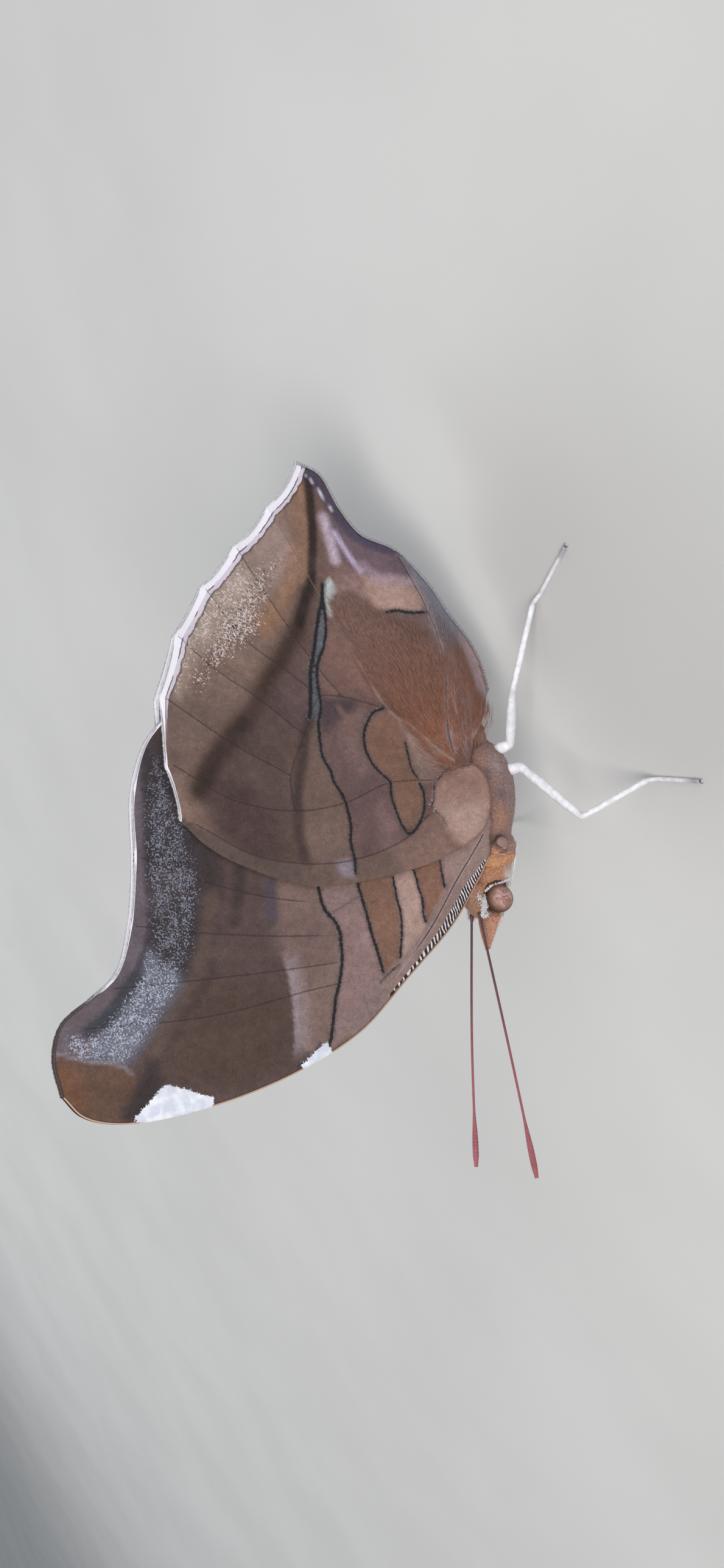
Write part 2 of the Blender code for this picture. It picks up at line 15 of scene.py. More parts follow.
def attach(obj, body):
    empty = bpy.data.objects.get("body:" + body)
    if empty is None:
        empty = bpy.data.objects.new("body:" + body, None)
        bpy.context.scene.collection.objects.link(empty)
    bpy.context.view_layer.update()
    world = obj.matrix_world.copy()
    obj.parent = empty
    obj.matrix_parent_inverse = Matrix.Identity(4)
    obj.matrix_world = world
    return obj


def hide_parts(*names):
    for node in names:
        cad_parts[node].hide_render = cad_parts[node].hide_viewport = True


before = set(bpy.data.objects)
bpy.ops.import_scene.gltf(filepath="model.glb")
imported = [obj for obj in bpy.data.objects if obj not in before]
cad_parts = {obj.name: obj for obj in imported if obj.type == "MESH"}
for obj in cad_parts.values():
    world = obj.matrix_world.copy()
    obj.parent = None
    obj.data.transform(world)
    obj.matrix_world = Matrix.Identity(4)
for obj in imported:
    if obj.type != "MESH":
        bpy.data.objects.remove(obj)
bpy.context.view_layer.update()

MM = 0.001
FAR = 99.0
SIDES = (("left", -1), ("right", 1))
draw = np.random.default_rng(11)

# Body sizes, the same as the solids'
GAP = 0.3
WING_HALF = 0.25
WING_STACK = 1.05
THORAX_CENTRE = (-3.55, 0.0, 13.85)
BODY_TILT = math.radians(28)
TILT = (math.cos(BODY_TILT), math.sin(BODY_TILT))
THORAX_LONG = 8.6
THORAX_HIGH = 4.95
THORAX_WIDE = 4.1
THORAX_TAPER = 0.15
TEGULA_AT = (-9.0, 3.35, 15.6)
TEGULA_SIZE = (1.0, 0.55, 0.95)
ABDOMEN_FRONT = (2.0, 0.0, 10.6)
ABDOMEN_TIP = (27.5, 0.0, 9.4)
ABDOMEN_RADIUS = 2.45
HEAD_CENTRE = (-14.6, 0.0, 19.3)
EYE_AT = (-14.9, 1.8, 18.5)
EYE_SIZE = (1.75, 1.45, 1.85)
PALP_LINE = ((-15.0, 0.9, 18.1), (-16.35, 0.62, 19.55), (-18.15, 0.45, 21.0), (-19.8, 0.3, 22.05))
PALP_DEEP = (1.1, 1.45, 0.85, 0.14)
PALP_THICK = (0.42, 0.42, 0.34, 0.12)
COIL_CENTRE = (-17.2, 0.0, 19.8)
COIL_RADIUS = 0.95
COIL_TURNS, COIL_KNOTS = 1.1, 200
COIL_START = math.radians(-60)
COIL_TUBE = 0.13
ANTENNA_ROOT = (-15.1, 0.8, 20.6)
ANTENNA_LEFT = ((-15.5, -0.9, 21.5), (-30.9, -3.2, 27.4), (-45.0, -5.5, 33.1))
ANTENNA_RIGHT = ((-15.5, 0.9, 21.6), (-29.2, 3.2, 28.2), (-43.0, 5.5, 34.2))
ANTENNA_SHAFT = 0.155
ANTENNA_CLUB = 0.38
CLUB_PART = 0.24
RING_PITCH, RING_STEPS = 0.42, 4
MID_LEG = {
    "left": ((-1.2, -1.5, 10.0), (-1.7, -2.7, 7.6), (-10.4, -9.0, 7.0), (-9.7, -15.9, 0.8),
             (-12.0, -23.8, 0.22)),
    "right": ((-1.2, 1.5, 10.0), (-1.7, 2.7, 7.6), (-9.6, 9.4, 7.2), (-8.6, 15.6, 0.8), (-9.2, 23.8, 0.22)),
}
HIND_LEG = {
    "left": ((1.6, -1.2, 9.8), (1.4, -2.7, 7.5), (7.2, -8.0, 7.2), (15.8, -11.2, 0.8), (19.6, -21.0, 0.22)),
    "right": ((1.6, 1.2, 9.8), (1.4, 2.7, 7.5), (7.8, 8.3, 7.3), (16.6, 12.0, 0.8), (21.6, 20.9, 0.22)),
}
SHIN_SPINES, FOOT_SPINES = 10, 6
ROD_SIDES, LEG_SIDES, PALP_SIDES = 12, 14, 28
FOOT_KNOTS, FOOT_JOINTS = 26, 5
FORELEG_SIDE = 0.3
FORELEG_RADIUS = 0.13
FORELEG_PATH = ((3.6, -3.3), (4.7, -4.82), (6.8, -4.64), (8.3, -4.34), (9.3, -4.09), (10.4, -3.84))

# Forewing outline and veins in the side view
FOREWING_COSTA = (
    (-9.7, 17.6), (-12.0, 20.2), (-14.8, 25.0), (-17.8, 33.9), (-20.5, 42.3), (-20.8, 52.0), (-19.3, 62.3),
    (-16.0, 72.3), (-13.2, 75.8), (-10.3, 76.8))
FOREWING_MARGIN = (
    (-10.3, 76.8), (-6.2, 75.8), (-3.4, 73.4), (-2.4, 69.4), (-1.2, 65.5), (2.6, 61.9), (8.8, 58.1),
    (15.9, 54.6), (20.6, 50.4), (22.6, 46.4))
FOREWING_INNER = ((22.6, 46.4), (19.5, 39.8), (11.5, 30.2), (4.0, 22.4), (-1.2, 17.6), (-4.2, 15.9))
FOREWING_ROOT = ((-4.2, 15.9), (-5.6, 15.9), (-7.4, 16.9), (-9.7, 17.6))
FOREWING_VEINS = (
    ((-8.6, 18.3), (-13.0, 25.5), (-16.6, 35.0), (-19.2, 44.5), (-19.6, 53.0)),
    ((-7.4, 18.3), (-12.6, 27.0), (-15.4, 36.5), (-17.0, 46.0), (-17.2, 58.0), (-14.6, 69.0), (-11.4, 75.6)),
    ((-15.6, 38.0), (-13.6, 45.0), (-10.4, 58.0), (-5.0, 71.4)),
    ((-12.4, 40.6), (-9.4, 49.0), (-5.6, 59.0), (-2.6, 66.5)),
    ((-9.6, 39.4), (-5.4, 48.0), (-1.4, 55.2), (2.4, 61.2)),
    ((-5.9, 17.6), (-7.0, 26.0), (-7.8, 33.5), (-3.0, 43.5), (3.0, 51.4), (9.0, 57.2)),
    ((-7.2, 29.0), (-1.5, 38.0), (7.0, 46.6), (16.0, 53.6)),
    ((-4.6, 17.2), (2.0, 26.5), (11.0, 37.0), (22.4, 47.6)),
    ((-15.4, 36.5), (-12.4, 40.6), (-9.6, 39.4), (-7.8, 33.5)),
)

# Hindwing outline and veins
HINDWING_COSTA = (
    (1.8, 14.4), (-0.2, 13.9), (-2.8, 15.0), (-5.4, 16.6), (-6.8, 18.9), (-7.1, 24.0), (-5.4, 33.0),
    (-2.6, 40.7), (3.2, 47.1), (7.0, 49.8), (10.9, 51.3))
HINDWING_MARGIN = (
    (10.9, 51.3), (15.6, 50.3), (20.2, 48.9), (24.9, 46.5), (28.9, 43.1), (33.3, 37.9), (36.7, 31.7),
    (39.7, 25.1), (42.4, 19.7), (45.0, 15.6))
HINDWING_INNER = (
    (45.0, 15.6), (42.6, 13.4), (37.7, 13.0), (33.6, 11.9), (30.2, 8.9), (26.0, 7.4), (20.7, 6.0),
    (15.5, 4.6), (11.9, 4.8), (8.7, 5.6))
HINDWING_ROOT = ((8.7, 5.6), (6.2, 9.0), (3.8, 12.2), (1.8, 14.4))
HINDWING_PALE_VEIN = ((2.9, 15.6), (8.3, 17.8), (12.1, 20.2), (18.6, 20.7), (29.1, 21.3), (41.2, 22.2))
HINDWING_VEINS = (
    ((16.0, 25.1), (20.5, 26.2), (31.6, 27.9), (37.6, 28.6)),
    ((17.0, 27.8), (21.5, 30.1), (27.5, 33.4), (34.4, 34.8)),
    ((13.6, 32.5), (20.1, 35.6), (25.6, 38.9), (30.4, 40.9)),
    ((9.9, 36.6), (16.4, 41.3), (24.2, 46.0)),
    ((0.9, 17.4), (2.7, 21.6), (4.0, 25.6), (4.2, 32.0), (6.0, 38.3), (10.3, 44.4), (16.8, 48.9)),
    ((-1.0, 17.4), (-1.8, 22.6), (-3.0, 27.1), (-1.7, 36.4), (3.0, 44.6), (9.6, 49.8)),
    ((3.8, 15.0), (9.4, 13.0), (14.3, 11.0), (21.6, 9.5), (29.0, 9.0)),
    ((12.1, 20.2), (15.9, 25.2), (17.0, 27.8), (13.6, 32.5), (9.9, 36.6), (6.0, 38.3)),
)

# The hindwing's step down to the middle plane, past the forewing's inner edge
STEP_LINE = ((-4.2, 15.9), (24.5, 46.4))
STEP_START, STEP_LENGTH = 6, 40
STEP_NEAR, STEP_FAR, STEP_SPREAD, STEP_REST = 0.9, 4.6, 0.25, 0.15

# How the wings stand off the body and bow
WING_REST = 0.45
FLARE, FLARE_REACH = 3.7, 1.75
BOW, BOW_AT, BOW_REACH = 0.8, (4, 40), 17
ROOT_BLEND, ROOM_BLEND = 0.4, 0.6
WING_ROOT = (-4, 16)

# Wing sheets, their scalloped edges, and places well inside a wing's outline
SCALLOP = 0.38
SCALLOP_INSIDE = (10.0, 30.0)
FRINGE_INSIDE = (5.0, 32.0)
SHEET_STEP = 0.42
SHEET_THICK = 0.12
FOREWING_LIFT = 0.1
HINDWING_LIFT = -0.2
VEIN_RELIEF = 0.09
TUCK = 0.55
NESTLE = 0.25
PLEAT = 0.2
PLEAT_REACH = 1.7
RIPPLE = 0.05
VEIN_REACH = 0.22
FORE_RIM, HIND_RIM, HIND_RIM_GROWTH = 0.26, 0.3, 0.62
RUN_STEP, LINE_STEP = 0.35, 0.4

# Skin and coat
FUR_GAIN = 1.9
BREAST_TUFTS, BELLY_TUFTS, FACE_TUFTS, PALP_TUFTS = 6200, 5200, 4600, 2600
SKIN_DEPTH = 0.22
SKIN_VOXEL = 0.2
NECK_FILL = 0.45
HEAD_BACK = -12.4
HAIR_COUNT = 36000
HAIR_FROM = (0.0, 14.6)
PATCH = 0.003

# Patches of colour on the breast: colour, place in the side view, reach and share
BREAST_SPOTS = (
    ((146, 110, 100), (1.2, 12.6), 1.0, 0.9),
    ((150, 134, 138), (0.0, 11.2), 1.3, 0.9),
    ((104, 94, 102), (-3.7, 12.6), 0.8, 0.9),
    ((98, 88, 94), (-0.5, 13.0), 0.6, 0.9),
    ((160, 122, 104), (-6.3, 14.0), 1.3, 0.9),
    ((112, 88, 82), (-7.3, 12.4), 0.5, 0.6),
    ((166, 138, 128), (-7.9, 11.6), 0.9, 0.9),
)

# White marks about the eye: line, number of scales, scatter and length
WHITE_LINES = (
    (((-13.5, 1.85, 20.9), (-13.9, 1.85, 20.5), (-14.6, 1.85, 20.7), (-15.3, 1.8, 21.2)), 620, 0.22, 0.22),
    (((-15.3, 1.8, 21.2), (-15.7, 1.65, 21.6), (-16.0, 1.5, 21.2), (-15.9, 1.5, 20.7)), 300, 0.12, 0.2),
    (((-13.3, 2.1, 20.0), (-13.15, 2.1, 18.8), (-13.35, 2.1, 17.6), (-13.5, 1.95, 16.4),
      (-13.5, 1.6, 15.6)), 260, 0.07, 0.2),
)

# Camera and light
CAMERA_TARGET = (5.3, 0.0, 27.5)
CAMERA_DISTANCE = 185.0
CAMERA_ELEVATION = math.radians(28)
CAMERA_ROLL = math.radians(116.6)
CAMERA_LENS = 34.9
LIGHT_SHARE = 0.92
FLOOR_GREY = (0.62, 0.61, 0.6)
FLOOR_HALF = 6.0
SKY, SKY_STRENGTH = (0.86, 0.93, 1.0, 1), 0.36
LAMP_AIM = (0.0, 0.0, 0.025)
LAMPS = (
    ("key", (-0.25, -0.5, 0.55), 0.5, 4.3, (1.0, 0.97, 0.93)),
    ("fill", (0.45, -0.45, 0.2), 0.6, 1.7, (0.93, 0.96, 1.0)),
    ("back", (0.1, 0.6, 0.5), 0.5, 1.9, (1.0, 1.0, 1.0)),
)


def tint(r, g, b):
    """A display colour of 0 to 255 as the linear colour of a surface under this scene's light."""
    value = np.array((r, g, b)) / 255
    return LIGHT_SHARE * np.where(value <= 0.04045, value / 12.92, ((value + 0.055) / 1.055) ** 2.4)


def smooth_line(points, step):
    """Points about a step apart on a centripetal Catmull-Rom curve through the given points."""
    given = np.array(points, float)
    padded = np.vstack([2 * given[0] - given[1], given, 2 * given[-1] - given[-2]])
    fine = []
    for i in range(len(given) - 1):
        p = padded[i:i + 4]
        t = np.concatenate([[0.0], np.cumsum(np.sqrt(np.linalg.norm(np.diff(p, axis=0), axis=1)))])
        for s in np.linspace(t[1], t[2], 24, endpoint=False):
            mixed = p
            for spans in (((0, 1), (1, 2), (2, 3)), ((0, 2), (1, 3)), ((1, 2),)):
                mixed = [((t[high] - s) * mixed[k] + (s - t[low]) * mixed[k + 1]) / (t[high] - t[low])
                         for k, (low, high) in enumerate(spans)]
            fine.append(mixed[0])
    fine = np.array(fine + [given[-1]])
    run = np.concatenate([[0.0], np.cumsum(np.linalg.norm(np.diff(fine, axis=0), axis=1))])
    count = max(2, int(round(run[-1] / step)) + 1)
    at = np.linspace(0, run[-1], count)
    return np.stack([np.interp(at, run, fine[:, k]) for k in range(given.shape[1])], axis=1)


def smooth_max(a, b, blend):
    """The larger of two values, rounded where they are close."""
    return 0.5 * (a + b + np.sqrt((a - b) ** 2 + blend * blend))


def ease(low, high, value):
    """0 up to low, 1 from high on, and a smooth rise between."""
    t = np.clip((value - low) / (high - low), 0, 1)
    return t * t * (3 - 2 * t)


def body_point(along, up, side=0.0, centre=THORAX_CENTRE):
    """A place given along, above and beside the raised body axis."""
    c, s = TILT
    return (centre[0] - along * c + up * s, centre[1] + side, centre[2] + along * s + up * c)


def thorax_axes(x, z):
    """Shares of the thorax's half-length and half-height, along and across its raised axis."""
    dx, dz = x - THORAX_CENTRE[0], z - THORAX_CENTRE[2]
    c, s = TILT
    return (-dx * c + dz * s) / THORAX_LONG, (dx * s + dz * c) / THORAX_HIGH


def thorax_side(x, z):
    """Half-width of the thorax."""
    u, v = thorax_axes(x, z)
    section = np.sqrt(np.clip(1 - u * u, 0, 1)) * (1 - THORAX_TAPER * u)
    return THORAX_WIDE * np.sqrt(np.clip(section ** 2 - v * v, 0, None))


def abdomen_room(x, z):
    """How far the abdomen pushes the wings out."""
    share = np.clip((x - ABDOMEN_FRONT[0]) / (ABDOMEN_TIP[0] - ABDOMEN_FRONT[0]), -0.3, 1.6)
    middle = ABDOMEN_FRONT[2] + (ABDOMEN_TIP[2] - ABDOMEN_FRONT[2]) * share
    reach = (ABDOMEN_RADIUS + 0.15) * (1 - ease(0.55, 1.35, share)) * ease(-0.3, 0.15, share)
    across = np.clip((z - middle) / (2.1 * ABDOMEN_RADIUS), -1, 1)
    return reach * (1 - across ** 2) ** 1.6


def forewing_height(x, z):
    """Distance of the forewing's middle surface from the middle plane, as in the solids."""
    u, v = thorax_axes(x, z)
    away = np.clip(np.hypot(u, v) / FLARE_REACH, 0, 1)
    flare = WING_REST + FLARE * (1 - away ** 2) ** 2
    bow = BOW * np.exp(-(((x - BOW_AT[0]) / BOW_REACH) ** 2 + ((z - BOW_AT[1]) / BOW_REACH) ** 2))
    root = smooth_max(thorax_side(x, z) + GAP + WING_HALF, flare, ROOT_BLEND)
    return smooth_max(root, WING_REST + abdomen_room(x, z), ROOM_BLEND) + bow


def behind_forewing(x, z):
    """0 where the hindwing lies over the forewing, easing to 1 past the forewing's inner edge."""
    start, end = Vector(STEP_LINE[0]), Vector(STEP_LINE[1])
    along = (end - start).normalized()
    dx, dz = x - start.x, z - start.y
    behind = dx * along.y - dz * along.x
    length = np.clip(dx * along.x + dz * along.y - STEP_START, 0, STEP_LENGTH)
    return ease(STEP_NEAR, STEP_FAR + STEP_SPREAD * length, behind)


def from_root(x, z):
    """Distance from the wings' roots in the side view."""
    return np.hypot(x - WING_ROOT[0], z - WING_ROOT[1])


def hindwing_height(x, z):
    """Distance of the hindwing's middle surface from the middle plane, as in the solids."""
    return forewing_height(x, z) + WING_STACK - (WING_STACK - STEP_REST) * behind_forewing(x, z)


def fore_sheet(x, z):
    """The thin forewing's middle surface, nearer the middle plane than the solid's away from the body."""
    free = 1 - np.clip(abdomen_room(x, z), 0, 1)
    return forewing_height(x, z) + FOREWING_LIFT - TUCK * ease(16.0, 32.0, from_root(x, z)) * free


def hind_sheet(x, z):
    """The thin hindwing's middle surface, which nestles on the forewing where they overlap."""
    over = NESTLE * ease(20.0, 34.0, from_root(x, z)) * (1 - behind_forewing(x, z))
    tuck = fore_sheet(x, z) - forewing_height(x, z) - FOREWING_LIFT
    return hindwing_height(x, z) + tuck + HINDWING_LIFT - over


def to_line(points, line):
    """Distance to a line, the same with its side as sign (left positive), and the length along it."""
    best = np.full(len(points), np.inf)
    side = np.zeros(len(points))
    run = np.zeros(len(points))
    start = 0.0
    for a, b in zip(line[:-1], line[1:]):
        ab = b - a
        size = np.hypot(ab[0], ab[1])
        rel = points - a
        share = np.clip(rel @ ab / size ** 2, 0, 1)
        away = rel - share[:, None] * ab
        distance = np.hypot(away[:, 0], away[:, 1])
        nearer = distance < best
        best = np.where(nearer, distance, best)
        side = np.where(nearer, np.sign(ab[0] * rel[:, 1] - ab[1] * rel[:, 0]), side)
        run = np.where(nearer, start + share * size, run)
        start += size
    return best, side * best, run


def inside(points, border):
    """Whether each point lies inside a closed line, by the count of crossings to one side."""
    found = np.zeros(len(points), bool)
    x, z = points[:, 0], points[:, 1]
    for a, b in zip(border, np.roll(border, -1, axis=0)):
        crosses = (a[1] > z) != (b[1] > z)
        rise = b[1] - a[1] if b[1] != a[1] else 1.0
        found ^= crosses & (x < a[0] + (z - a[1]) * (b[0] - a[0]) / rise)
    return found


def depth_in(points, loop):
    """Distance from a closed line, positive inside it and negative outside."""
    distance = to_line(points, loop)[0]
    return np.where(inside(points, loop), distance, -distance)


def within(points, outline, soft):
    """1 inside a closed outline, 0 outside it, easing across the edge."""
    return ease(-soft, soft, depth_in(points, smooth_line(tuple(outline) + (outline[0],), 0.6)))


def near(points, line, half, soft):
    """1 along a line, easing to 0 past its half-width."""
    return 1 - ease(half, half + soft, to_line(points, smooth_line(line, 0.5))[0])


def left_of(points, line, soft):
    """1 on the left of a line's travel, 0 on its right, easing across it."""
    return ease(-soft, soft, to_line(points, smooth_line(line, 0.8))[1])


class Paint:
    """Colours of side-view points, laid on one marking after another."""

    def __init__(self, points, colour):
        self.points = points
        self.colour = np.tile(tint(*colour), (len(points), 1))

    def blend(self, colour, share):
        share = np.asarray(share)[:, None]
        self.colour = self.colour * (1 - share) + tint(*colour) * share

    def area(self, colour, outline, soft=0.8, share=1.0):
        self.blend(colour, share * within(self.points, outline, soft))

    def band(self, colour, line, half, soft, share=1.0):
        self.blend(colour, share * near(self.points, line, half, soft))

    def beyond(self, colour, line, soft=0.8, share=1.0):
        self.blend(colour, share * left_of(self.points, line, soft))


# Marks on the hindwing
TWIN_LEFT = (
    (29.6, 20.1), (28.0, 21.1), (26.3, 22.5), (24.6, 23.8), (22.9, 25.1), (21.2, 26.6), (19.2, 27.9),
    (17.2, 29.2), (15.2, 30.7))
TWIN_LEFT_SOFT = (
    (15.2, 30.7), (13.4, 32.6), (11.5, 34.0), (9.6, 35.4), (7.8, 36.8), (5.8, 37.9), (3.8, 38.8), (1.7, 39.5),
    (-0.4, 40.2))
TWIN_RIGHT_TOP = (
    (28.6, 20.7), (27.2, 21.3), (26.1, 21.7), (23.9, 22.8), (22.2, 24.2), (21.3, 25.4), (20.4, 26.3))
TWIN_RIGHT = (
    (20.4, 26.3), (19.6, 26.7), (18.5, 27.2), (17.0, 27.9), (15.6, 28.6), (14.2, 29.9), (12.1, 31.0),
    (10.2, 31.7), (8.6, 31.6), (6.9, 31.9), (4.9, 31.8), (3.2, 32.1), (1.5, 32.5), (-0.2, 33.5), (-2.0, 34.1),
    (-3.8, 34.8))
TWIN_DIVIDE = (
    (46.0, 14.4), (42.8, 15.2), (37.7, 16.8), (33.7, 18.6), (29.6, 20.1), (24.6, 23.8), (21.2, 26.6),
    (15.2, 30.7), (9.6, 35.4), (3.8, 38.8), (-6.0, 42.0))
OLIVE_FIELD = (
    (14.6, 29.9), (12.1, 31.2), (8.6, 31.8), (4.4, 32.0), (1.5, 32.7), (-0.4, 33.7), (-1.8, 34.9),
    (-0.6, 38.4), (1.5, 39.3), (5.1, 37.8), (8.8, 35.9), (12.3, 33.2))
SPOT_STRIP = ((12.0, 20.4), (8.0, 19.8), (2.6, 21.2), (1.9, 18.8), (2.8, 17.0), (8.0, 18.4))
GREY_SLOT = (
    (28.0, 21.0), (26.1, 21.7), (23.9, 22.8), (22.2, 24.2), (21.3, 25.4), (20.2, 26.4), (18.6, 27.2),
    (15.6, 28.7), (14.6, 30.2), (17.2, 29.2), (21.2, 26.6), (24.6, 23.8), (27.0, 21.9))
GREEN_PATCH = (
    (30.1, 18.8), (28.8, 18.5), (27.4, 18.9), (26.2, 19.8), (25.4, 21.0), (26.7, 21.3), (28.3, 20.5),
    (29.5, 19.5))
STREAK_WIDE = ((37.3, 15.6), (35.7, 15.9), (33.9, 16.3), (31.8, 16.8))
STREAK_FINE = ((35.1, 15.1), (33.0, 14.9), (31.0, 14.6), (29.4, 14.2))
LILAC_SOFT = ((29.9, 13.8), (27.7, 12.7), (26.4, 11.2), (25.3, 9.4))
SPOT_UPPER = (
    (12.5, 20.8), (12.5, 22.3), (11.9, 23.3), (10.8, 24.7), (9.6, 25.6), (8.4, 26.0), (6.5, 26.0),
    (5.0, 25.4), (3.9, 25.0))
SPOT_UPPER_INNER = ((7.5, 20.0), (5.9, 20.6), (4.2, 21.3), (2.9, 21.3))
SPOT_LOWER = (
    (3.9, 25.0), (2.6, 25.7), (0.8, 26.0), (-1.0, 26.2), (-2.6, 26.0), (-2.7, 25.3), (-1.8, 23.5),
    (-0.5, 22.2), (1.0, 21.4), (2.1, 21.4))
TAIL_HEM = ((44.2, 16.0), (43.4, 15.2), (41.2, 14.5), (39.2, 14.25), (37.6, 13.9))
UPPER_FILL = (
    (12.3, 20.9), (11.9, 23.3), (9.6, 25.5), (6.5, 25.9), (3.5, 24.9), (2.9, 21.5), (5.9, 20.8), (8.0, 20.0),
    (10.3, 19.6))
LOWER_FILL = ((3.3, 25.1), (0.8, 25.9), (-1.8, 26.0), (-1.8, 23.6), (-0.5, 22.4), (1.0, 21.6), (2.7, 21.6))
SHORT_BAR = ((23.2, 13.7), (22.8, 12.7), (21.9, 11.7), (21.0, 9.9))
DARK_BAND = (
    (44.6, 15.1), (42.7, 15.1), (39.3, 16.5), (36.0, 18.0), (33.1, 19.7), (30.3, 21.5), (28.6, 23.2),
    (26.3, 25.4))
OCHRE_BESIDE = ((42.8, 16.8), (38.4, 18.4), (35.0, 20.3), (32.0, 23.0), (29.8, 26.0), (27.6, 29.6))
DARK_TAIL = (
    (29.4, 22.6), (26.3, 25.6), (23.8, 29.1), (21.4, 33.0), (18.8, 36.9), (16.9, 40.9), (15.1, 44.6),
    (13.2, 47.2))
DARK_LOW = ((18.2, 38.6), (16.9, 40.9), (15.1, 44.6), (12.8, 47.4))
OCHRE_TRIANGLE = (
    (25.2, 23.0), (24.3, 21.6), (18.6, 21.0), (13.8, 20.9), (15.7, 24.4), (17.0, 27.3), (20.4, 25.6))
HAIR_ZONE = (
    (28.5, 18.6), (24.0, 15.8), (21.5, 14.0), (16.6, 11.6), (12.1, 11.9), (8.4, 13.1), (2.8, 14.7),
    (2.4, 16.4), (5.2, 17.5), (9.8, 18.2), (15.0, 20.0), (22.6, 20.4), (27.0, 20.5))
TAN_PATCH = ((28.9, 14.3), (25.4, 9.3), (21.5, 9.9), (23.2, 13.5), (24.7, 15.3))
MAUVE_CORNER = ((38.5, 15.3), (33.9, 12.9), (30.0, 8.9), (25.5, 9.1), (28.9, 14.1), (32.4, 16.4))
FLAP = (
    (30.2, 9.0), (25.4, 8.9), (19.9, 9.9), (15.9, 10.6), (12.4, 11.5), (9.0, 13.0), (3.0, 14.6), (8.7, 4.6),
    (15.5, 3.8), (26.0, 6.6))
HINGE = (
    (1.5, 14.7), (1.8, 15.7), (2.2, 16.7), (1.8, 18.2), (1.2, 19.6), (-0.3, 20.6), (-1.2, 21.5), (-2.5, 20.9),
    (-3.8, 20.8))
LOBE = (
    (1.5, 14.5), (2.0, 16.5), (1.8, 18.2), (1.0, 19.8), (-1.2, 21.3), (-3.8, 20.9), (-6.9, 20.4),
    (-6.6, 17.6), (-3.0, 14.6), (-0.2, 13.6))
PALE_OUTER = (
    (36.5, 29.0), (33.6, 28.4), (31.4, 30.6), (29.6, 34.8), (27.6, 39.0), (26.2, 42.0), (23.6, 44.6),
    (27.5, 43.8), (33.0, 37.5))
FLECKS = (
    (34.8, 23.0), (32.6, 25.0), (29.9, 28.5), (27.2, 30.6), (26.0, 34.6), (24.7, 38.6), (23.4, 41.8),
    (24.6, 42.6), (27.4, 39.4), (30.6, 35.4), (33.0, 31.0), (34.8, 26.4))
FLECK_HEART = (
    (31.2, 29.6), (28.4, 31.0), (26.8, 34.0), (26.0, 37.6), (27.6, 37.6), (29.6, 34.6), (31.4, 32.0))

# Marks on the forewing
FORE_A = (
    (0.0, 39.5), (-3.2, 39.5), (-5.5, 40.1), (-8.1, 39.5), (-11.1, 40.4), (-13.1, 41.5), (-15.9, 43.8),
    (-18.8, 45.9), (-20.4, 47.4))
FORE_B = ((-1.0, 33.5), (-5.1, 34.8), (-7.6, 35.3), (-10.6, 35.8), (-14.0, 36.4), (-15.7, 36.8))
FORE_C = ((-2.0, 29.0), (-6.4, 30.2), (-8.3, 30.8), (-10.7, 31.3), (-12.4, 32.1), (-15.2, 34.0))
FORE_D = ((-3.0, 26.4), (-6.9, 27.2), (-8.8, 27.5), (-10.7, 27.9), (-12.0, 28.6), (-12.9, 28.8))
FORE_E = ((-4.0, 22.2), (-7.4, 23.3), (-8.8, 23.7), (-10.5, 24.3))
FORE_CROSS = ((-6.7, 40.2), (-6.4, 35.1))
STRIP_EDGE = (
    (-6.9, 17.6), (-8.6, 21.5), (-11.9, 26.6), (-14.4, 31.1), (-15.6, 35.2), (-16.5, 39.5), (-18.4, 44.8))
MAROON = ((-6.9, 17.6), (-9.2, 20.6), (-11.6, 24.4), (-14.0, 28.6), (-15.4, 31.8), (-17.0, 35.6))
FROST = (
    (19.4, 50.2), (18.4, 49.4), (12.1, 51.0), (9.0, 50.9), (4.1, 52.0), (0.5, 54.1), (-2.8, 56.6),
    (-4.8, 58.7), (-6.2, 61.8), (-8.5, 64.6), (-10.3, 69.0), (-6.7, 74.3), (-4.6, 73.4), (-5.7, 70.0),
    (-4.3, 65.5), (-0.5, 61.3), (6.8, 57.6), (15.5, 53.3))
FROST_PALE = (
    (-0.2, 61.4), (-2.8, 60.6), (-5.1, 59.2), (-6.4, 60.9), (-8.2, 64.1), (-9.6, 66.7), (-10.4, 68.9),
    (-8.5, 71.9), (-6.5, 74.6), (-4.6, 73.3), (-5.7, 70.8), (-4.0, 66.1), (-2.2, 62.9))
FROST_HEM = (
    (19.6, 50.4), (15.7, 51.3), (11.0, 51.7), (8.7, 51.6), (4.5, 52.2), (2.2, 53.4), (-1.2, 55.6),
    (-4.5, 58.5))
TEAL = ((-2.7, 63.9), (-3.8, 66.0), (-5.1, 68.9), (-5.4, 71.1))
SUBMARGIN = ((19.6, 51.4), (16.7, 52.8), (11.4, 55.3), (6.8, 57.6), (3.1, 59.2), (0.2, 61.0), (-2.2, 63.6))
APEX_PATCH = (
    (-5.6, 75.4), (-8.2, 72.6), (-10.6, 69.4), (-12.6, 68.6), (-15.6, 71.5), (-16.4, 74.0), (-11.0, 77.4))
APEX_EDGE = ((-5.8, 75.4), (-8.2, 72.6), (-10.6, 69.4), (-11.6, 69.1))
APEX_DARK = ((-11.3, 66.4), (-13.8, 66.0), (-16.6, 70.6), (-15.4, 72.4), (-13.4, 69.8))
TRIANGLE = (
    (-16.2, 71.2), (-14.6, 66.9), (-14.5, 66.2), (-15.3, 65.2), (-18.5, 61.9), (-19.2, 62.6), (-18.9, 65.4),
    (-17.4, 69.7))
WHITE_BITS = ((-20.3, 51.0), (-19.8, 49.0), (-19.4, 47.1), (-21.3, 46.8), (-21.4, 51.0))
LILAC_EDGE = ((-8.3, 47.2), (-10.8, 47.6), (-12.5, 48.2), (-14.2, 48.7), (-15.8, 49.4), (-17.4, 50.4))
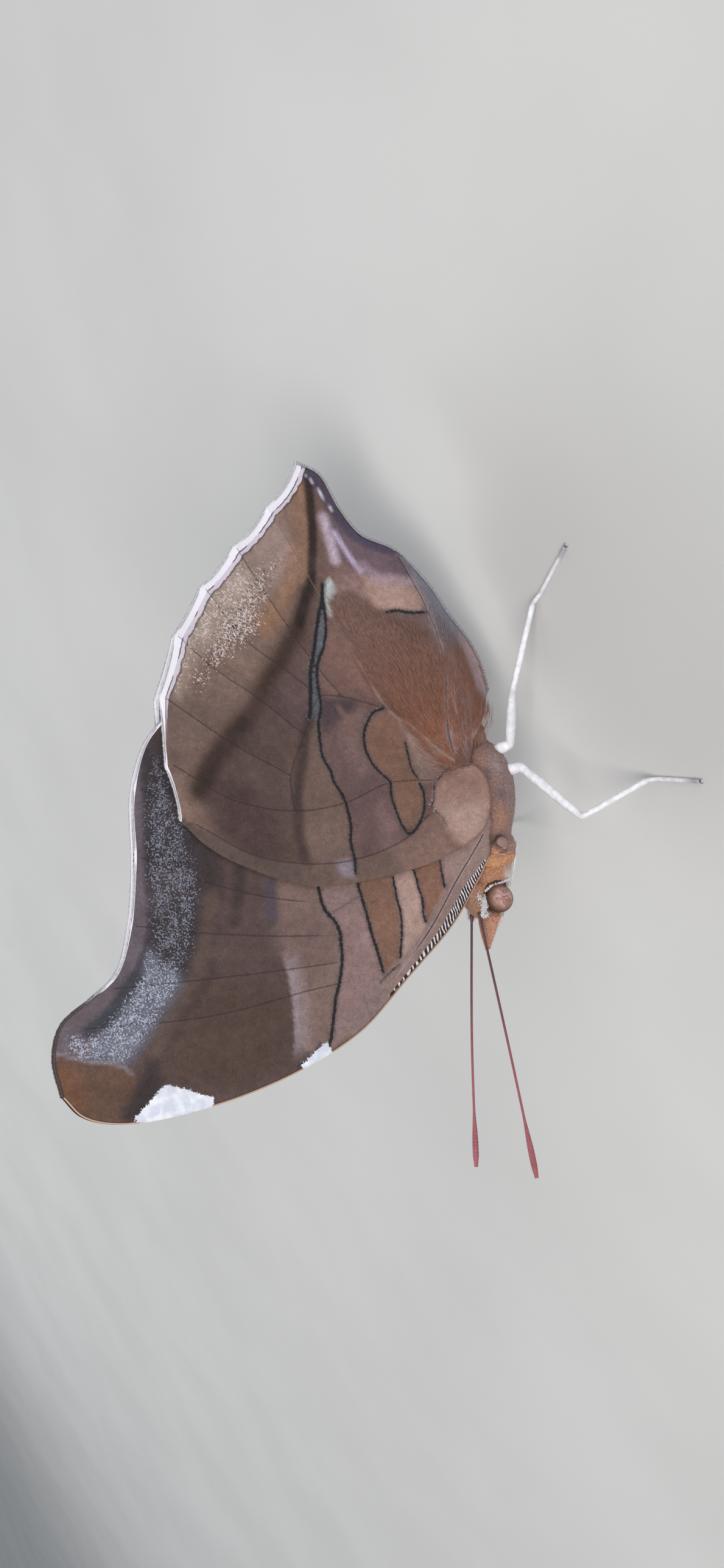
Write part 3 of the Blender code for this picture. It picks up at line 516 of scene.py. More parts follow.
# A ridge across the forewing's outer part, painted on: a lighter stripe as its painted highlight and a darker
# stripe beside it as its painted shadow
RIDGE_PAINTED_HIGHLIGHT = ((1.5, 52.0), (-2.3, 54.7), (-5.2, 57.2), (-7.4, 60.7), (-10.6, 65.3))
RIDGE_PAINTED_SHADOW = ((-5.6, 55.6), (-7.7, 59.5), (-10.0, 63.0), (-11.8, 66.0))
SMUDGE_BROWN = ((2.8, 47.3), (0.1, 49.0), (-2.1, 50.5))
SMUDGE_BLUE = ((-0.1, 44.6), (-1.9, 45.6), (-3.9, 46.2))
FIELD = (
    (-12.9, 48.9), (-17.1, 50.8), (-19.0, 54.0), (-18.4, 60.6), (-14.4, 64.6), (-11.4, 62.5), (-8.0, 58.4),
    (-9.0, 52.0))
FIELD_EDGE = (
    (4.0, 43.5), (-0.1, 44.6), (-3.9, 46.2), (-6.6, 46.8), (-8.3, 47.2), (-11.5, 47.9), (-14.2, 48.9),
    (-16.5, 49.6), (-18.0, 49.7))

# Black lines of each wing with their half-widths, and the front edge's stripes
HIND_INKS = (
    (TWIN_LEFT, 0.2), (TWIN_RIGHT_TOP, 0.14), (TWIN_RIGHT, 0.15), (SPOT_UPPER, 0.13), (SPOT_LOWER, 0.12),
    (SPOT_UPPER_INNER, 0.07), (SHORT_BAR, 0.16), (HINGE, 0.0),
)
FORE_INKS = (
    (FORE_A[1:], 0.17), (FORE_B[1:], 0.15), (FORE_C[1:], 0.12), (FORE_D[1:], 0.12), (FORE_E[1:], 0.1),
    (FORE_CROSS, -0.12), (((-16.6, 37.6), (-16.2, 36.2), (-15.9, 34.4)), 0.0),
    (((-19.2, 47.8), (-20.0, 49.6), (-20.2, 51.6)), 0.0), (((-20.3, 47.6), (-20.6, 49.6)), -0.02),
)
ZEBRA_END = 22.0
STRIPE_SLANT = 0.69
STRIPE_PITCH = (0.39, 0.56, 0.97)
STRIPE_LOW = 0.25
FLECK_TURN = math.radians(-24)
DASH_STRETCH = (1.7, 1.0, 1.0)
NO_MARK = {"snow": -FAR, "rim_wide": 0.0, "frost": 0.0, "soot": 0.0, "flecks": 0.0, "stripe_width": -1.0}


def scalloped(run, tips):
    """The margin with a small point at each vein's end and a shallow bay between."""
    line = smooth_line(run, RUN_STEP)
    tangent = np.gradient(line, axis=0)
    tangent /= np.linalg.norm(tangent, axis=1)[:, None]
    length = np.concatenate([[0.0], np.cumsum(np.linalg.norm(np.diff(line, axis=0), axis=1))])
    at = sorted(length[np.argmin(np.linalg.norm(line - np.array(tip), axis=1))] for tip in tips)
    knots = [0.0] + at + [length[-1]]
    depth = np.zeros(len(line))
    for low, high in zip(knots[:-1], knots[1:]):
        part = (length >= low) & (length <= high)
        depth[part] = SCALLOP * np.sin(math.pi * (length[part] - low) / max(high - low, 0.1)) ** 0.8
    inward = np.stack([tangent[:, 1], -tangent[:, 0]], axis=1)
    inward *= np.sign(((SCALLOP_INSIDE - line) * inward).sum(axis=1))[:, None]
    return line + inward * depth[:, None]


def sheet_points(border, lines):
    """Fine triangles of a wing in the side view, with edges along its border and every given line."""
    points = [tuple(p) for p in border]
    edges = [(i, (i + 1) % len(points)) for i in range(len(points))]
    for line in lines:
        first = len(points)
        points.extend(tuple(p) for p in line)
        edges.extend((first + i, first + i + 1) for i in range(len(line) - 1))
    low, high = border.min(axis=0), border.max(axis=0)
    rise = SHEET_STEP * math.sqrt(3) / 2
    rows = []
    for row in range(int((high[1] - low[1]) / rise) + 1):
        x = np.arange(low[0] + 0.5 * SHEET_STEP * (row % 2), high[0], SHEET_STEP)
        rows.append(np.stack([x, np.full(len(x), low[1] + row * rise)], axis=1))
    loose = np.vstack(rows)
    loose = loose[inside(loose, border)]
    away = to_line(loose, np.vstack([border, border[:1]]))[0]
    for line in lines:
        away = np.minimum(away, to_line(loose, line)[0])
    loose = loose[away > 0.4 * SHEET_STEP]
    flat = [Vector(p) for p in points] + [Vector(p) for p in loose]
    corners, _, faces, *_ = delaunay_2d_cdt(flat, edges, [], 0, 1e-4)
    corners = np.array([tuple(c) for c in corners])
    faces = np.array([tuple(f) for f in faces])
    faces = faces[inside(corners[faces].mean(axis=1), border)]
    used = np.unique(faces)
    place = np.full(len(corners), -1)
    place[used] = np.arange(len(used))
    return corners[used], place[faces]


def read(data, key, kind, width):
    """One field of a mesh's points or triangles as an array."""
    flat = np.empty(len(data) * width, kind)
    data.foreach_get(key, flat)
    return flat.reshape(-1, width)


def paint_points(mesh, colour):
    """Keeps a colour at each point, which the materials read."""
    layer = mesh.attributes.new("paint", "FLOAT_COLOR", "POINT")
    full = np.concatenate([colour, np.ones((len(colour), 1))], axis=1)
    layer.data.foreach_set("color", full.astype(np.float32).ravel())


def mesh_piece(name, material, slot, points, faces, colour, uv=None, values=None):
    """A piece from points in millimetres, with its own values and colours kept at the points."""
    mesh = bpy.data.meshes.new(name)
    mesh.from_pydata((np.asarray(points) * MM).tolist(), [], np.asarray(faces).tolist())
    for key, data in (values or {}).items():
        layer = mesh.attributes.new(key, "FLOAT", "POINT")
        layer.data.foreach_set("value", np.asarray(data, np.float32))
    paint_points(mesh, colour)
    if uv is not None:
        layer = mesh.uv_layers.new(name="OFBake")
        corner = read(mesh.loops, "vertex_index", np.int32, 1)[:, 0]
        layer.data.foreach_set("uv", uv[corner].astype(np.float32).ravel())
    mesh.shade_smooth()
    made = bpy.data.objects.new(name, mesh)
    bpy.context.scene.collection.objects.link(made)
    mesh.materials.append(material)
    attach(made, "root")
    return made


def joined(parts):
    """Several closed shapes as one: points, faces, colours and, where given, bake coordinates."""
    points, faces, *rest = zip(*parts)
    starts = np.cumsum([0] + [len(p) for p in points[:-1]])
    faces = np.vstack([np.asarray(f) + start for f, start in zip(faces, starts)])
    return (np.vstack(points), faces, *map(np.vstack, rest))


def unit(vectors):
    """Vectors brought to length 1."""
    return vectors / np.maximum(np.linalg.norm(vectors, axis=1), 1e-9)[:, None]


def blades(roots, along, normal, length, width, colour, uv, curve=0.12, tip_light=1.15):
    """Closed three-sided blades that taper to a point: points, triangles, colours and bake coordinates."""
    along = unit(along)
    side = unit(np.cross(along, normal))
    over = unit(np.cross(side, along))
    length, width = length[:, None], width[:, None]
    points, colours, places = [], [], []
    for share, swell in ((0.0, 0.7), (0.5, 1.0)):
        centre = roots + along * length * share + over * length * curve * share
        for turn in (90, 210, 330):
            c, s = math.cos(math.radians(turn)), math.sin(math.radians(turn))
            points.append(centre + (side * c + over * 0.4 * s) * width * 0.5 * swell)
            colours.append(colour * (0.9 + 0.2 * share))
            places.append(uv + PATCH * np.array((0.5 + 0.4 * c, share)))
    points.append(roots + along * length - over * length * curve * 0.4)
    colours.append(np.clip(colour * tip_light, 0, 1))
    places.append(uv + PATCH * np.array((0.5, 1.0)))
    count = len(roots)
    points = np.stack(points, axis=1).reshape(-1, 3)
    colours = np.stack(colours, axis=1).reshape(-1, 3)
    places = np.stack(places, axis=1).reshape(-1, 2)
    one = np.array([(0, 2, 1), (0, 1, 4), (0, 4, 3), (1, 2, 5), (1, 5, 4), (2, 0, 3), (2, 3, 5),
                    (3, 4, 6), (4, 5, 6), (5, 3, 6)])
    faces = (one[None] + 7 * np.arange(count)[:, None, None]).reshape(-1, 3)
    return points, faces, colours, places


class Signal:
    """A node's output, which numbers and other signals can be added to, taken from and multiplied with."""

    def __init__(self, graph, socket):
        self.graph, self.socket = graph, socket

    def __add__(self, other):
        return self.graph.math("ADD", self, other)

    def __sub__(self, other):
        return self.graph.math("SUBTRACT", self, other)

    def __mul__(self, other):
        return self.graph.math("MULTIPLY", self, other)


class Graph:
    """A material's nodes, built by short calls, and the colour laid on so far."""

    def __init__(self, name, roughness=0.8, specular=0.3, sheen=0.0, coat=0.0):
        self.material = bpy.data.materials.new(name)
        self.material.use_nodes = True
        self.tree = self.material.node_tree
        self.shader = self.tree.nodes["Principled BSDF"]
        for socket, value in (("Roughness", roughness), ("Specular IOR Level", specular),
                              ("Sheen Weight", sheen), ("Sheen Roughness", 0.4),
                              ("Coat Weight", coat), ("Coat Roughness", 0.12)):
            self.shader.inputs[socket].default_value = value
        place = self.add("TexCoord", {}, "Object")
        self.place = self.add("VectorMath", {0: place, "Scale": 1 / MM}, operation="SCALE")
        self.colour = None

    def put(self, socket, value):
        if isinstance(value, Signal):
            self.tree.links.new(value.socket, socket)
        elif isinstance(value, (tuple, np.ndarray)):
            socket.default_value = (*value, 1) if len(value) < len(socket.default_value) else tuple(value)
        else:
            socket.default_value = value

    def add(self, kind, inputs, output=0, **settings):
        """A new node with its settings and inputs, given back as the signal from one output."""
        node = self.tree.nodes.new("ShaderNode" + kind)
        for key, value in settings.items():
            setattr(node, key, value)
        for key, value in inputs.items():
            self.put(node.inputs[key], value)
        return Signal(self, node.outputs[output])

    def math(self, kind, a, b=0.0):
        return self.add("Math", {0: a, 1: b}, operation=kind)

    def ramp(self, low, high, value, start=0.0, end=1.0):
        """A smooth step from start, at and below low, to end, at and above high."""
        return self.add("MapRange", {"Value": value, "From Min": low, "From Max": high, "To Min": start,
                                     "To Max": end}, "Result", interpolation_type="SMOOTHSTEP")

    def noise(self, scale, detail=2.0, distortion=0.0, shift=0.0, stretch=None, turn=0.0):
        where = self.place
        if shift or stretch:
            where = self.add("Mapping", {"Vector": where, "Location": (shift, 0.7 * shift, 1.3 * shift),
                                         "Rotation": (0, turn, 0), "Scale": stretch or (1, 1, 1)},
                             vector_type="TEXTURE")
        return self.add("TexNoise", {"Vector": where, "Scale": scale, "Detail": detail,
                                     "Distortion": distortion}, "Fac")

    def waver(self, size, *noise):
        """Noise about zero, by which an edge or a width wanders."""
        return (self.noise(*noise) - 0.5) * size

    def cells(self, scale):
        return self.add("TexVoronoi", {"Vector": self.place, "Scale": scale}, "Distance")

    def value(self, name, output="Fac"):
        return self.add("Attribute", {}, output, attribute_name=name)

    def mix(self, share, a, b):
        return self.add("Mix", {0: share, 6: a, 7: b}, 2, data_type="RGBA")

    def paint(self):
        """Starts from the colours kept at the points."""
        self.colour = self.value("paint", "Color")

    def lay(self, share, shade):
        """Covers the colour so far by a share of 0 to 1."""
        self.colour = self.mix(share, self.colour, shade if isinstance(shade, Signal) else tint(*shade))

    def brighten(self, factor):
        self.colour = self.add("VectorMath", {0: self.colour, "Scale": factor}, operation="SCALE")

    def strokes(self, scale, width, density, shift, curl=1.1, stretch=None, turn=0.0):
        """Short strokes, denser where the density is higher and none where it is zero."""
        bent = self.noise(scale, 0.0, curl, shift, stretch, turn)
        thin = self.ramp(width, 1.9 * width, self.math("ABSOLUTE", bent - 0.5), 1.0, 0.0)
        gate = self.noise(1.1 * scale, 0.0, 0.0, shift + 31, stretch, turn)
        level = self.math("SUBTRACT", 0.95, density * 0.6)
        return thin * self.ramp(level, level + 0.05, gate)

    def finish(self, height=None, strength=0.3, depth=0.00004):
        """Joins the colour and, where a height is given, a bump to the shader."""
        self.put(self.shader.inputs["Base Color"], self.colour)
        if height is not None:
            bump = self.add("Bump", {"Strength": strength, "Distance": depth, "Height": height})
            self.put(self.shader.inputs["Normal"], bump)
        return self.material


def wing_material():
    """Matt scales: painted ground, black lines, strokes of frost, striped front edge and white rim."""
    g = Graph("wing_scales", roughness=0.72, specular=0.28, sheen=0.06)
    vein_ink, ink_depth, front, rim_value = (g.value(key) for key in ("vein_ink", "ink", "front_edge", "rim"))
    wide, soot_share, maroon = (g.value(key) for key in ("rim_wide", "soot", "maroon"))

    # Ground: the painted colour, uneven at four sizes
    grain = g.noise(7.0, 3.0)
    g.paint()
    g.brighten(g.ramp(0.3, 0.7, g.noise(2.2, 2.0, 0.3, 37), 0.93, 1.07))
    g.brighten(g.ramp(0.25, 0.75, grain, 0.8, 1.2))
    g.brighten(g.ramp(0.3, 0.7, g.noise(0.9, 3.0, 0.4, 5), 0.9, 1.1))
    # A faint painted sheen: mauve-grey in soft, large patches
    g.lay(g.ramp(0.5, 0.75, g.noise(0.22, 2.0, 0.6, 17), 0.0, 0.1), (134, 110, 112))
    g.brighten(g.ramp(1.2, 2.4, g.value("vein"), 0.98, 1.09))
    g.lay(g.ramp(0.7, 0.78, g.noise(9.0, 0.0, 0.0, 29), 0.0, 0.08), (176, 158, 154))

    # Veins, pale and dark, with uneven edges
    ragged = g.waver(0.32, 2.6, 2.0, 0.0, 3)
    fine = g.waver(0.42, 6.5, 2.0, 0.0, 9)
    g.lay(g.ramp(0.06, 0.24, g.value("vein_pale") + fine, 0.6, 0.0), (172, 140, 126))
    g.lay(g.ramp(0.03, 0.14, vein_ink + fine * 0.6, 0.66, 0.0), (50, 38, 38))

    # Strokes: dark soot, pale flecks and blue-grey frost
    patchy = g.ramp(0.35, 0.65, g.noise(0.7, 2.0, 0.2, 83), 0.75, 1.1)
    soot = g.strokes(4.6, 0.055, soot_share * patchy, 41, 0.5, DASH_STRETCH, FLECK_TURN)
    g.lay(soot * 0.75, (56, 45, 45))
    flecks = g.strokes(4.6, 0.065, g.value("flecks") * patchy, 93, 0.5, DASH_STRETCH, FLECK_TURN)
    g.lay(flecks * 0.85, (214, 198, 196))
    frost = g.strokes(4.2, 0.06, g.value("frost") * patchy, 77, 0.6)
    g.lay(frost * 0.8, g.mix(soot_share, tint(138, 142, 157), tint(212, 217, 238)))

    # Black lines: a grey halo, a few pale glints beside the line, then the line
    ink_at = ink_depth + (ragged + fine)
    g.lay(g.ramp(0.0, 0.5, ink_at, 0.5, 0.0), (60, 57, 62))
    glints = g.ramp(0.08, 0.16, ink_at) * g.ramp(0.24, 0.36, ink_at, 1.0, 0.0)
    g.lay(glints * g.ramp(0.56, 0.64, g.noise(5.0, 1.0, 0.0, 51), 0.0, 0.28), (150, 150, 165))
    g.lay(g.ramp(-0.05, 0.08, ink_at, 0.96, 0.0), (27, 25, 30))
    g.lay(g.ramp(0.1, 0.34, maroon, 0.35, 0.0), (172, 160, 166))
    g.lay(g.ramp(0.05, 0.12, maroon + fine * 0.4, 0.9, 0.0), (66, 34, 40))

    # Front edge: bars across it, a dark hem and the tan edge itself
    count = g.value("zebra") + g.waver(1.1, 0.8, 1.0, 0.0, 61)
    wave = g.math("SINE", count * (2 * math.pi)) + g.waver(2.4, 1.6, 1.0, 0.0, 67)
    striped = g.mix(g.ramp(0.25, 0.65, wave + ragged * 2.4), tint(50, 38, 40), tint(222, 216, 220))
    room = g.math("MINIMUM", front - STRIPE_LOW, g.value("stripe_width") - front) + ragged * 1.6
    g.lay(g.ramp(-0.04, 0.04, room), striped)
    hem = g.ramp(0.15, 0.19, front) * g.ramp(0.23, 0.3, front, 1.0, 0.0)
    g.lay(hem * 0.85, (64, 46, 44))
    g.lay(g.ramp(0.12, 0.19, front, 0.9, 0.0), (200, 170, 146))

    # Outer edge: a dark line, a lilac band, a broken grey line and the white rim
    rim = rim_value + ragged * 0.6
    wavy = rim + g.waver(0.5, 1.1, 1.0, 0.0, 71)
    edge = g.ramp(1.5, 1.6, wavy) * g.ramp(1.64, 1.9, wavy, 1.0, 0.0)
    g.lay(edge * (wide * 0.75), (70, 54, 54))
    g.lay(g.ramp(1.48, 1.62, wavy, 0.92, 0.0) * wide, (216, 206, 222))
    line = g.ramp(0.94, 1.0, rim) * g.ramp(1.06, 1.16, rim, 1.0, 0.0)
    broken = g.ramp(0.4, 0.48, g.noise(0.45, 0.0, 0.0, 23)) * wide
    g.lay(line * (broken * 0.9), (56, 50, 58))
    g.lay(g.ramp(0.9, 1.0, rim, 0.97, 0.0), (242, 239, 247))
    crossing = g.ramp(1.5, 1.7, rim, 1.0, 0.0) * g.ramp(0.03, 0.11, vein_ink, 0.6, 0.0)
    g.lay(crossing, (108, 98, 104))

    # White triangle and its small companion near the front edge
    snow = g.value("snow") + (ragged * 2.0 + fine * 1.6)
    snow_tone = g.mix(g.ramp(0.3, 0.7, g.noise(0.9, 2.0, 0.2, 97)), tint(214, 218, 235), tint(244, 246, 253))
    g.lay(g.ramp(-0.06, 0.06, snow, 0.0, 0.96), snow_tone)
    return g.finish(grain + (frost + flecks) * 1.2, 0.35)


def coat_material(name, roughness=0.85, spread=0.2, scale=3.0, sheen=0.1):
    """Hair or scales in the colours kept at the points, with finer light and dark strands."""
    g = Graph(name, roughness, 0.25, sheen)
    g.paint()
    g.brighten(g.ramp(0.3, 0.7, g.noise(scale, 2.0, 0.3), 1 - spread, 1 + spread))
    g.lay(g.ramp(0.55, 0.8, g.noise(0.7, 2.0, 0.5, 13), 0.0, 0.25), (150, 132, 136))
    return g.finish(g.noise(3 * scale, 2.0), 0.5)


def scale_material(name, roughness=0.6, spread=0.12, scale=8.0, coat=0.0):
    """A hard surface under small flat scales."""
    g = Graph(name, roughness, 0.35, 0.0, coat)
    small = g.cells(scale)
    g.paint()
    g.brighten(g.ramp(0.1, 0.8, small, 1 + spread, 1 - spread))
    g.brighten(g.ramp(0.3, 0.7, g.noise(1.4, 2.0), 0.9, 1.1))
    return g.finish(small, 0.5)


def eye_material():
    """A finely faceted olive-brown dome with soft pinkish streaks of painted reflection and dark streaks
    toward its middle.
    """
    g = Graph("eye", 0.52, 0.36, 0.0, 0.03)
    facets, centre = g.cells(14.0), g.value("centre")
    g.paint()
    g.brighten(g.ramp(0.2, 0.7, g.noise(1.1, 3.0, 0.8), 0.85, 1.15))
    # Painted reflection: a soft pinkish patch and pale pinkish streaks over the dome's outward middle, with
    # dark streaks among them
    g.lay(g.ramp(0.1, 0.8, centre) * g.ramp(0.3, 0.6, g.noise(0.8, 2.0, 0.5, 19), 0.2, 0.7), (190, 148, 144))
    streaks = g.noise(0.95, 1.0, 1.6, 8)
    light = g.ramp(0.53, 0.6, streaks) * g.ramp(0.63, 0.72, streaks, 1.0, 0.0)
    g.lay(light * centre * 0.7, (212, 174, 178))
    deep = g.ramp(0.38, 0.43, streaks) * g.ramp(0.46, 0.51, streaks, 1.0, 0.0)
    g.lay(deep * centre * 0.55, (110, 74, 68))
    g.brighten(g.ramp(0.0, 0.6, facets, 1.06, 0.9))
    return g.finish(facets, 0.18, 0.00002)


def hindwing_look(points):
    """Colours and mark distances of the hindwing's outer face."""
    paint = Paint(points, (104, 80, 74))
    paint.beyond((98, 77, 72), TWIN_DIVIDE[::-1], 1.0)
    outer = DARK_BAND[:5] + DARK_TAIL[1:] + ((6.0, 50.0),)
    paint.beyond((124, 100, 90), outer[::-1], 1.6)
    paint.area((147, 125, 119), ((43.0, 17.5), (36.0, 19.4), (30.5, 23.0), (27.6, 27.0), (30.0, 29.0),
               (37.0, 29.0)), 2.2, 0.9)
    paint.area((101, 82, 78), ((24.0, 47.0), (24.0, 40.0), (20.6, 38.0), (17.0, 44.5), (16.0, 50.0)), 1.5,
               0.7)
    paint.area((184, 168, 158), PALE_OUTER, 1.6, 0.55)
    paint.area((122, 101, 92), ((26.4, 27.0), (22.9, 34.0), (21.6, 39.0), (24.4, 40.0), (27.4, 33.4),
               (30.4, 28.4)), 1.4, 0.7)
    paint.area((79, 63, 58), ((14.8, 32.6), (7.6, 38.2), (0.6, 41.0), (2.6, 45.2), (9.6, 47.0), (15.4, 41.0),
               (20.0, 31.6)), 1.4, 0.8)
    paint.area((66, 49, 48), ((3.0, 41.0), (2.0, 44.6), (9.6, 47.4), (13.0, 43.6), (8.0, 41.0)), 1.6, 0.7)
    paint.area((91, 72, 74), ((20.6, 28.0), (15.4, 31.6), (16.2, 34.4), (20.2, 31.0)), 1.1, 0.7)
    paint.band((138, 103, 80), OCHRE_BESIDE, 0.6, 1.6, 0.75)
    paint.band((66, 48, 41), DARK_TAIL, 0.4, 2.6, 0.55)
    paint.band((50, 34, 28), DARK_TAIL, 0.2, 1.5, 0.75)
    paint.band((42, 30, 29), DARK_LOW, 0.1, 2.4, 0.6)
    paint.band((36, 25, 24), DARK_BAND, 0.34, 0.6, 0.95)
    paint.area((98, 76, 76), ((13.6, 29.8), (9.0, 31.2), (1.0, 31.9), (-5.4, 34.4), (-5.4, 27.4),
               (-1.6, 26.6), (5.0, 26.2), (9.4, 26.4), (13.4, 21.6), (16.4, 26.0)), 0.9, 0.9)
    paint.area((123, 99, 94), ((14.4, 27.4), (9.4, 28.6), (6.4, 27.6), (9.8, 26.2), (13.4, 23.4)), 1.4, 0.75)
    paint.area((68, 55, 62), ((16.6, 28.6), (13.2, 29.8), (13.2, 27.4), (14.4, 23.6), (16.6, 26.0)), 0.8, 0.8)
    paint.area((120, 96, 93), ((-1.0, 26.8), (-5.2, 27.6), (-5.0, 32.0), (-1.0, 29.4), (3.0, 27.4)), 1.2, 0.8)
    paint.band((126, 98, 88), ((14.9, 26.2), (13.2, 26.0), (11.4, 26.6)), 0.1, 0.5, 0.6)
    paint.area((117, 88, 81), OCHRE_TRIANGLE, 0.55, 0.95)
    paint.area((111, 86, 79), ((21.0, 25.6), (17.2, 27.6), (15.8, 25.0), (14.8, 22.2), (18.0, 24.6)), 0.7,
               0.75)
    paint.area((106, 85, 77), OLIVE_FIELD, 0.45, 1.0)
    paint.area((112, 91, 84), ((4.0, 32.4), (-0.4, 33.9), (-1.6, 35.2), (-0.6, 38.0), (1.5, 38.8),
               (4.4, 37.4)), 0.9, 0.8)
    paint.area((90, 97, 104), GREY_SLOT, 0.2, 0.95)
    paint.area((190, 203, 204), GREEN_PATCH, 0.35, 0.95)
    paint.band((60, 47, 45), TWIN_LEFT_SOFT, 0.2, 0.95, 0.85)
    paint.area((140, 114, 107), ((12.0, 20.2), (8.0, 19.6), (2.6, 21.2), (1.9, 18.6), (2.6, 15.9),
               (8.0, 18.0)), 0.6, 0.9)
    paint.area((100, 74, 66), ((1.0, 21.0), (-1.6, 23.0), (-3.4, 26.6), (-6.8, 27.0), (-7.2, 21.6),
               (-3.0, 21.2)), 0.8, 0.95)
    paint.area((122, 90, 79), HAIR_ZONE, 1.3, 0.95)
    paint.area((140, 112, 110), ((30.0, 18.0), (22.4, 20.4), (20.6, 17.4), (23.6, 15.6), (30.0, 14.6)), 1.4,
               0.85)
    paint.area((154, 132, 134), FLAP, 0.8, 0.95)
    paint.area((114, 116, 130), ((31.4, 9.0), (24.0, 9.0), (15.6, 9.8), (17.0, 5.0), (27.0, 5.6)), 1.6, 0.85)
    paint.area((100, 82, 91), MAUVE_CORNER, 0.8, 0.95)
    paint.area((158, 130, 120), TAN_PATCH, 0.6, 0.95)
    paint.area((124, 98, 86), ((43.4, 17.6), (38.6, 18.2), (34.8, 20.4), (37.6, 21.6), (41.6, 20.4)), 0.9,
               0.7)
    paint.band((200, 182, 200), STREAK_WIDE, 0.0, 1.2, 0.75)
    paint.band((196, 182, 210), STREAK_FINE, 0.0, 0.6, 0.8)
    paint.band((150, 129, 142), LILAC_SOFT, 0.1, 1.2, 0.6)
    paint.band((66, 60, 80), ((44.6, 14.9), (42.6, 14.2), (39.7, 13.9), (34.6, 13.0), (31.6, 10.8),
               (29.9, 8.8)), 0.35, 0.8, 0.9)
    paint.band((206, 200, 216), TAIL_HEM, 0.0, 0.16, 0.85)
    paint.band((132, 112, 102), HINDWING_COSTA[6:], 0.1, 0.22, 0.7)
    paint.band((160, 148, 156), ((29.4, 8.7), (22.0, 9.2), (15.6, 10.4)), 0.04, 0.3, 0.5)
    paint.area((146, 114, 104), LOBE, 0.5, 1.0)
    # Painted highlight: a pale lilac patch on the upper part of the lobe
    paint.area((162, 138, 128), ((-1.2, 20.6), (-6.4, 20.0), (-6.4, 17.8), (-3.4, 16.4)), 1.4, 0.75)
    strip = to_line(points, smooth_line(HINDWING_VEINS[5], 0.6))[1]
    beside = ease(-0.2, 0.5, strip)
    low_part = ease(27.0, 30.0, points[:, 1])
    paint.blend((104, 84, 76), beside * low_part * 0.9)
    paint.blend((82, 68, 63), beside * ease(36.0, 43.0, points[:, 1]) * 0.8)
    paint.blend((130, 104, 95), beside * (1 - low_part) * ease(20.5, 22.5, points[:, 1]) * 0.8)
    paint.area((136, 124, 134), ((-1.4, 36.6), (-2.0, 34.7), (-4.1, 35.1), (-3.0, 36.7)), 0.4, 0.9)
    paint.area((121, 90, 76), UPPER_FILL, 0.3, 1.0)
    paint.area((119, 90, 76), LOWER_FILL, 0.3, 1.0)
    flecks = 0.86 * within(points, FLECKS, 2.0) + 0.4 * within(points, FLECK_HEART, 1.6)
    flecks = np.maximum(flecks, 0.8 * within(points, PALE_OUTER, 1.6))
    flecks = np.maximum(flecks, 0.6 * near(points, HINGE, 0.15, 0.5))
    soot = 0.8 * within(points, FLECKS, 1.6)
    return paint.colour, {"frost": np.zeros(len(points)), "soot": soot, "flecks": flecks}


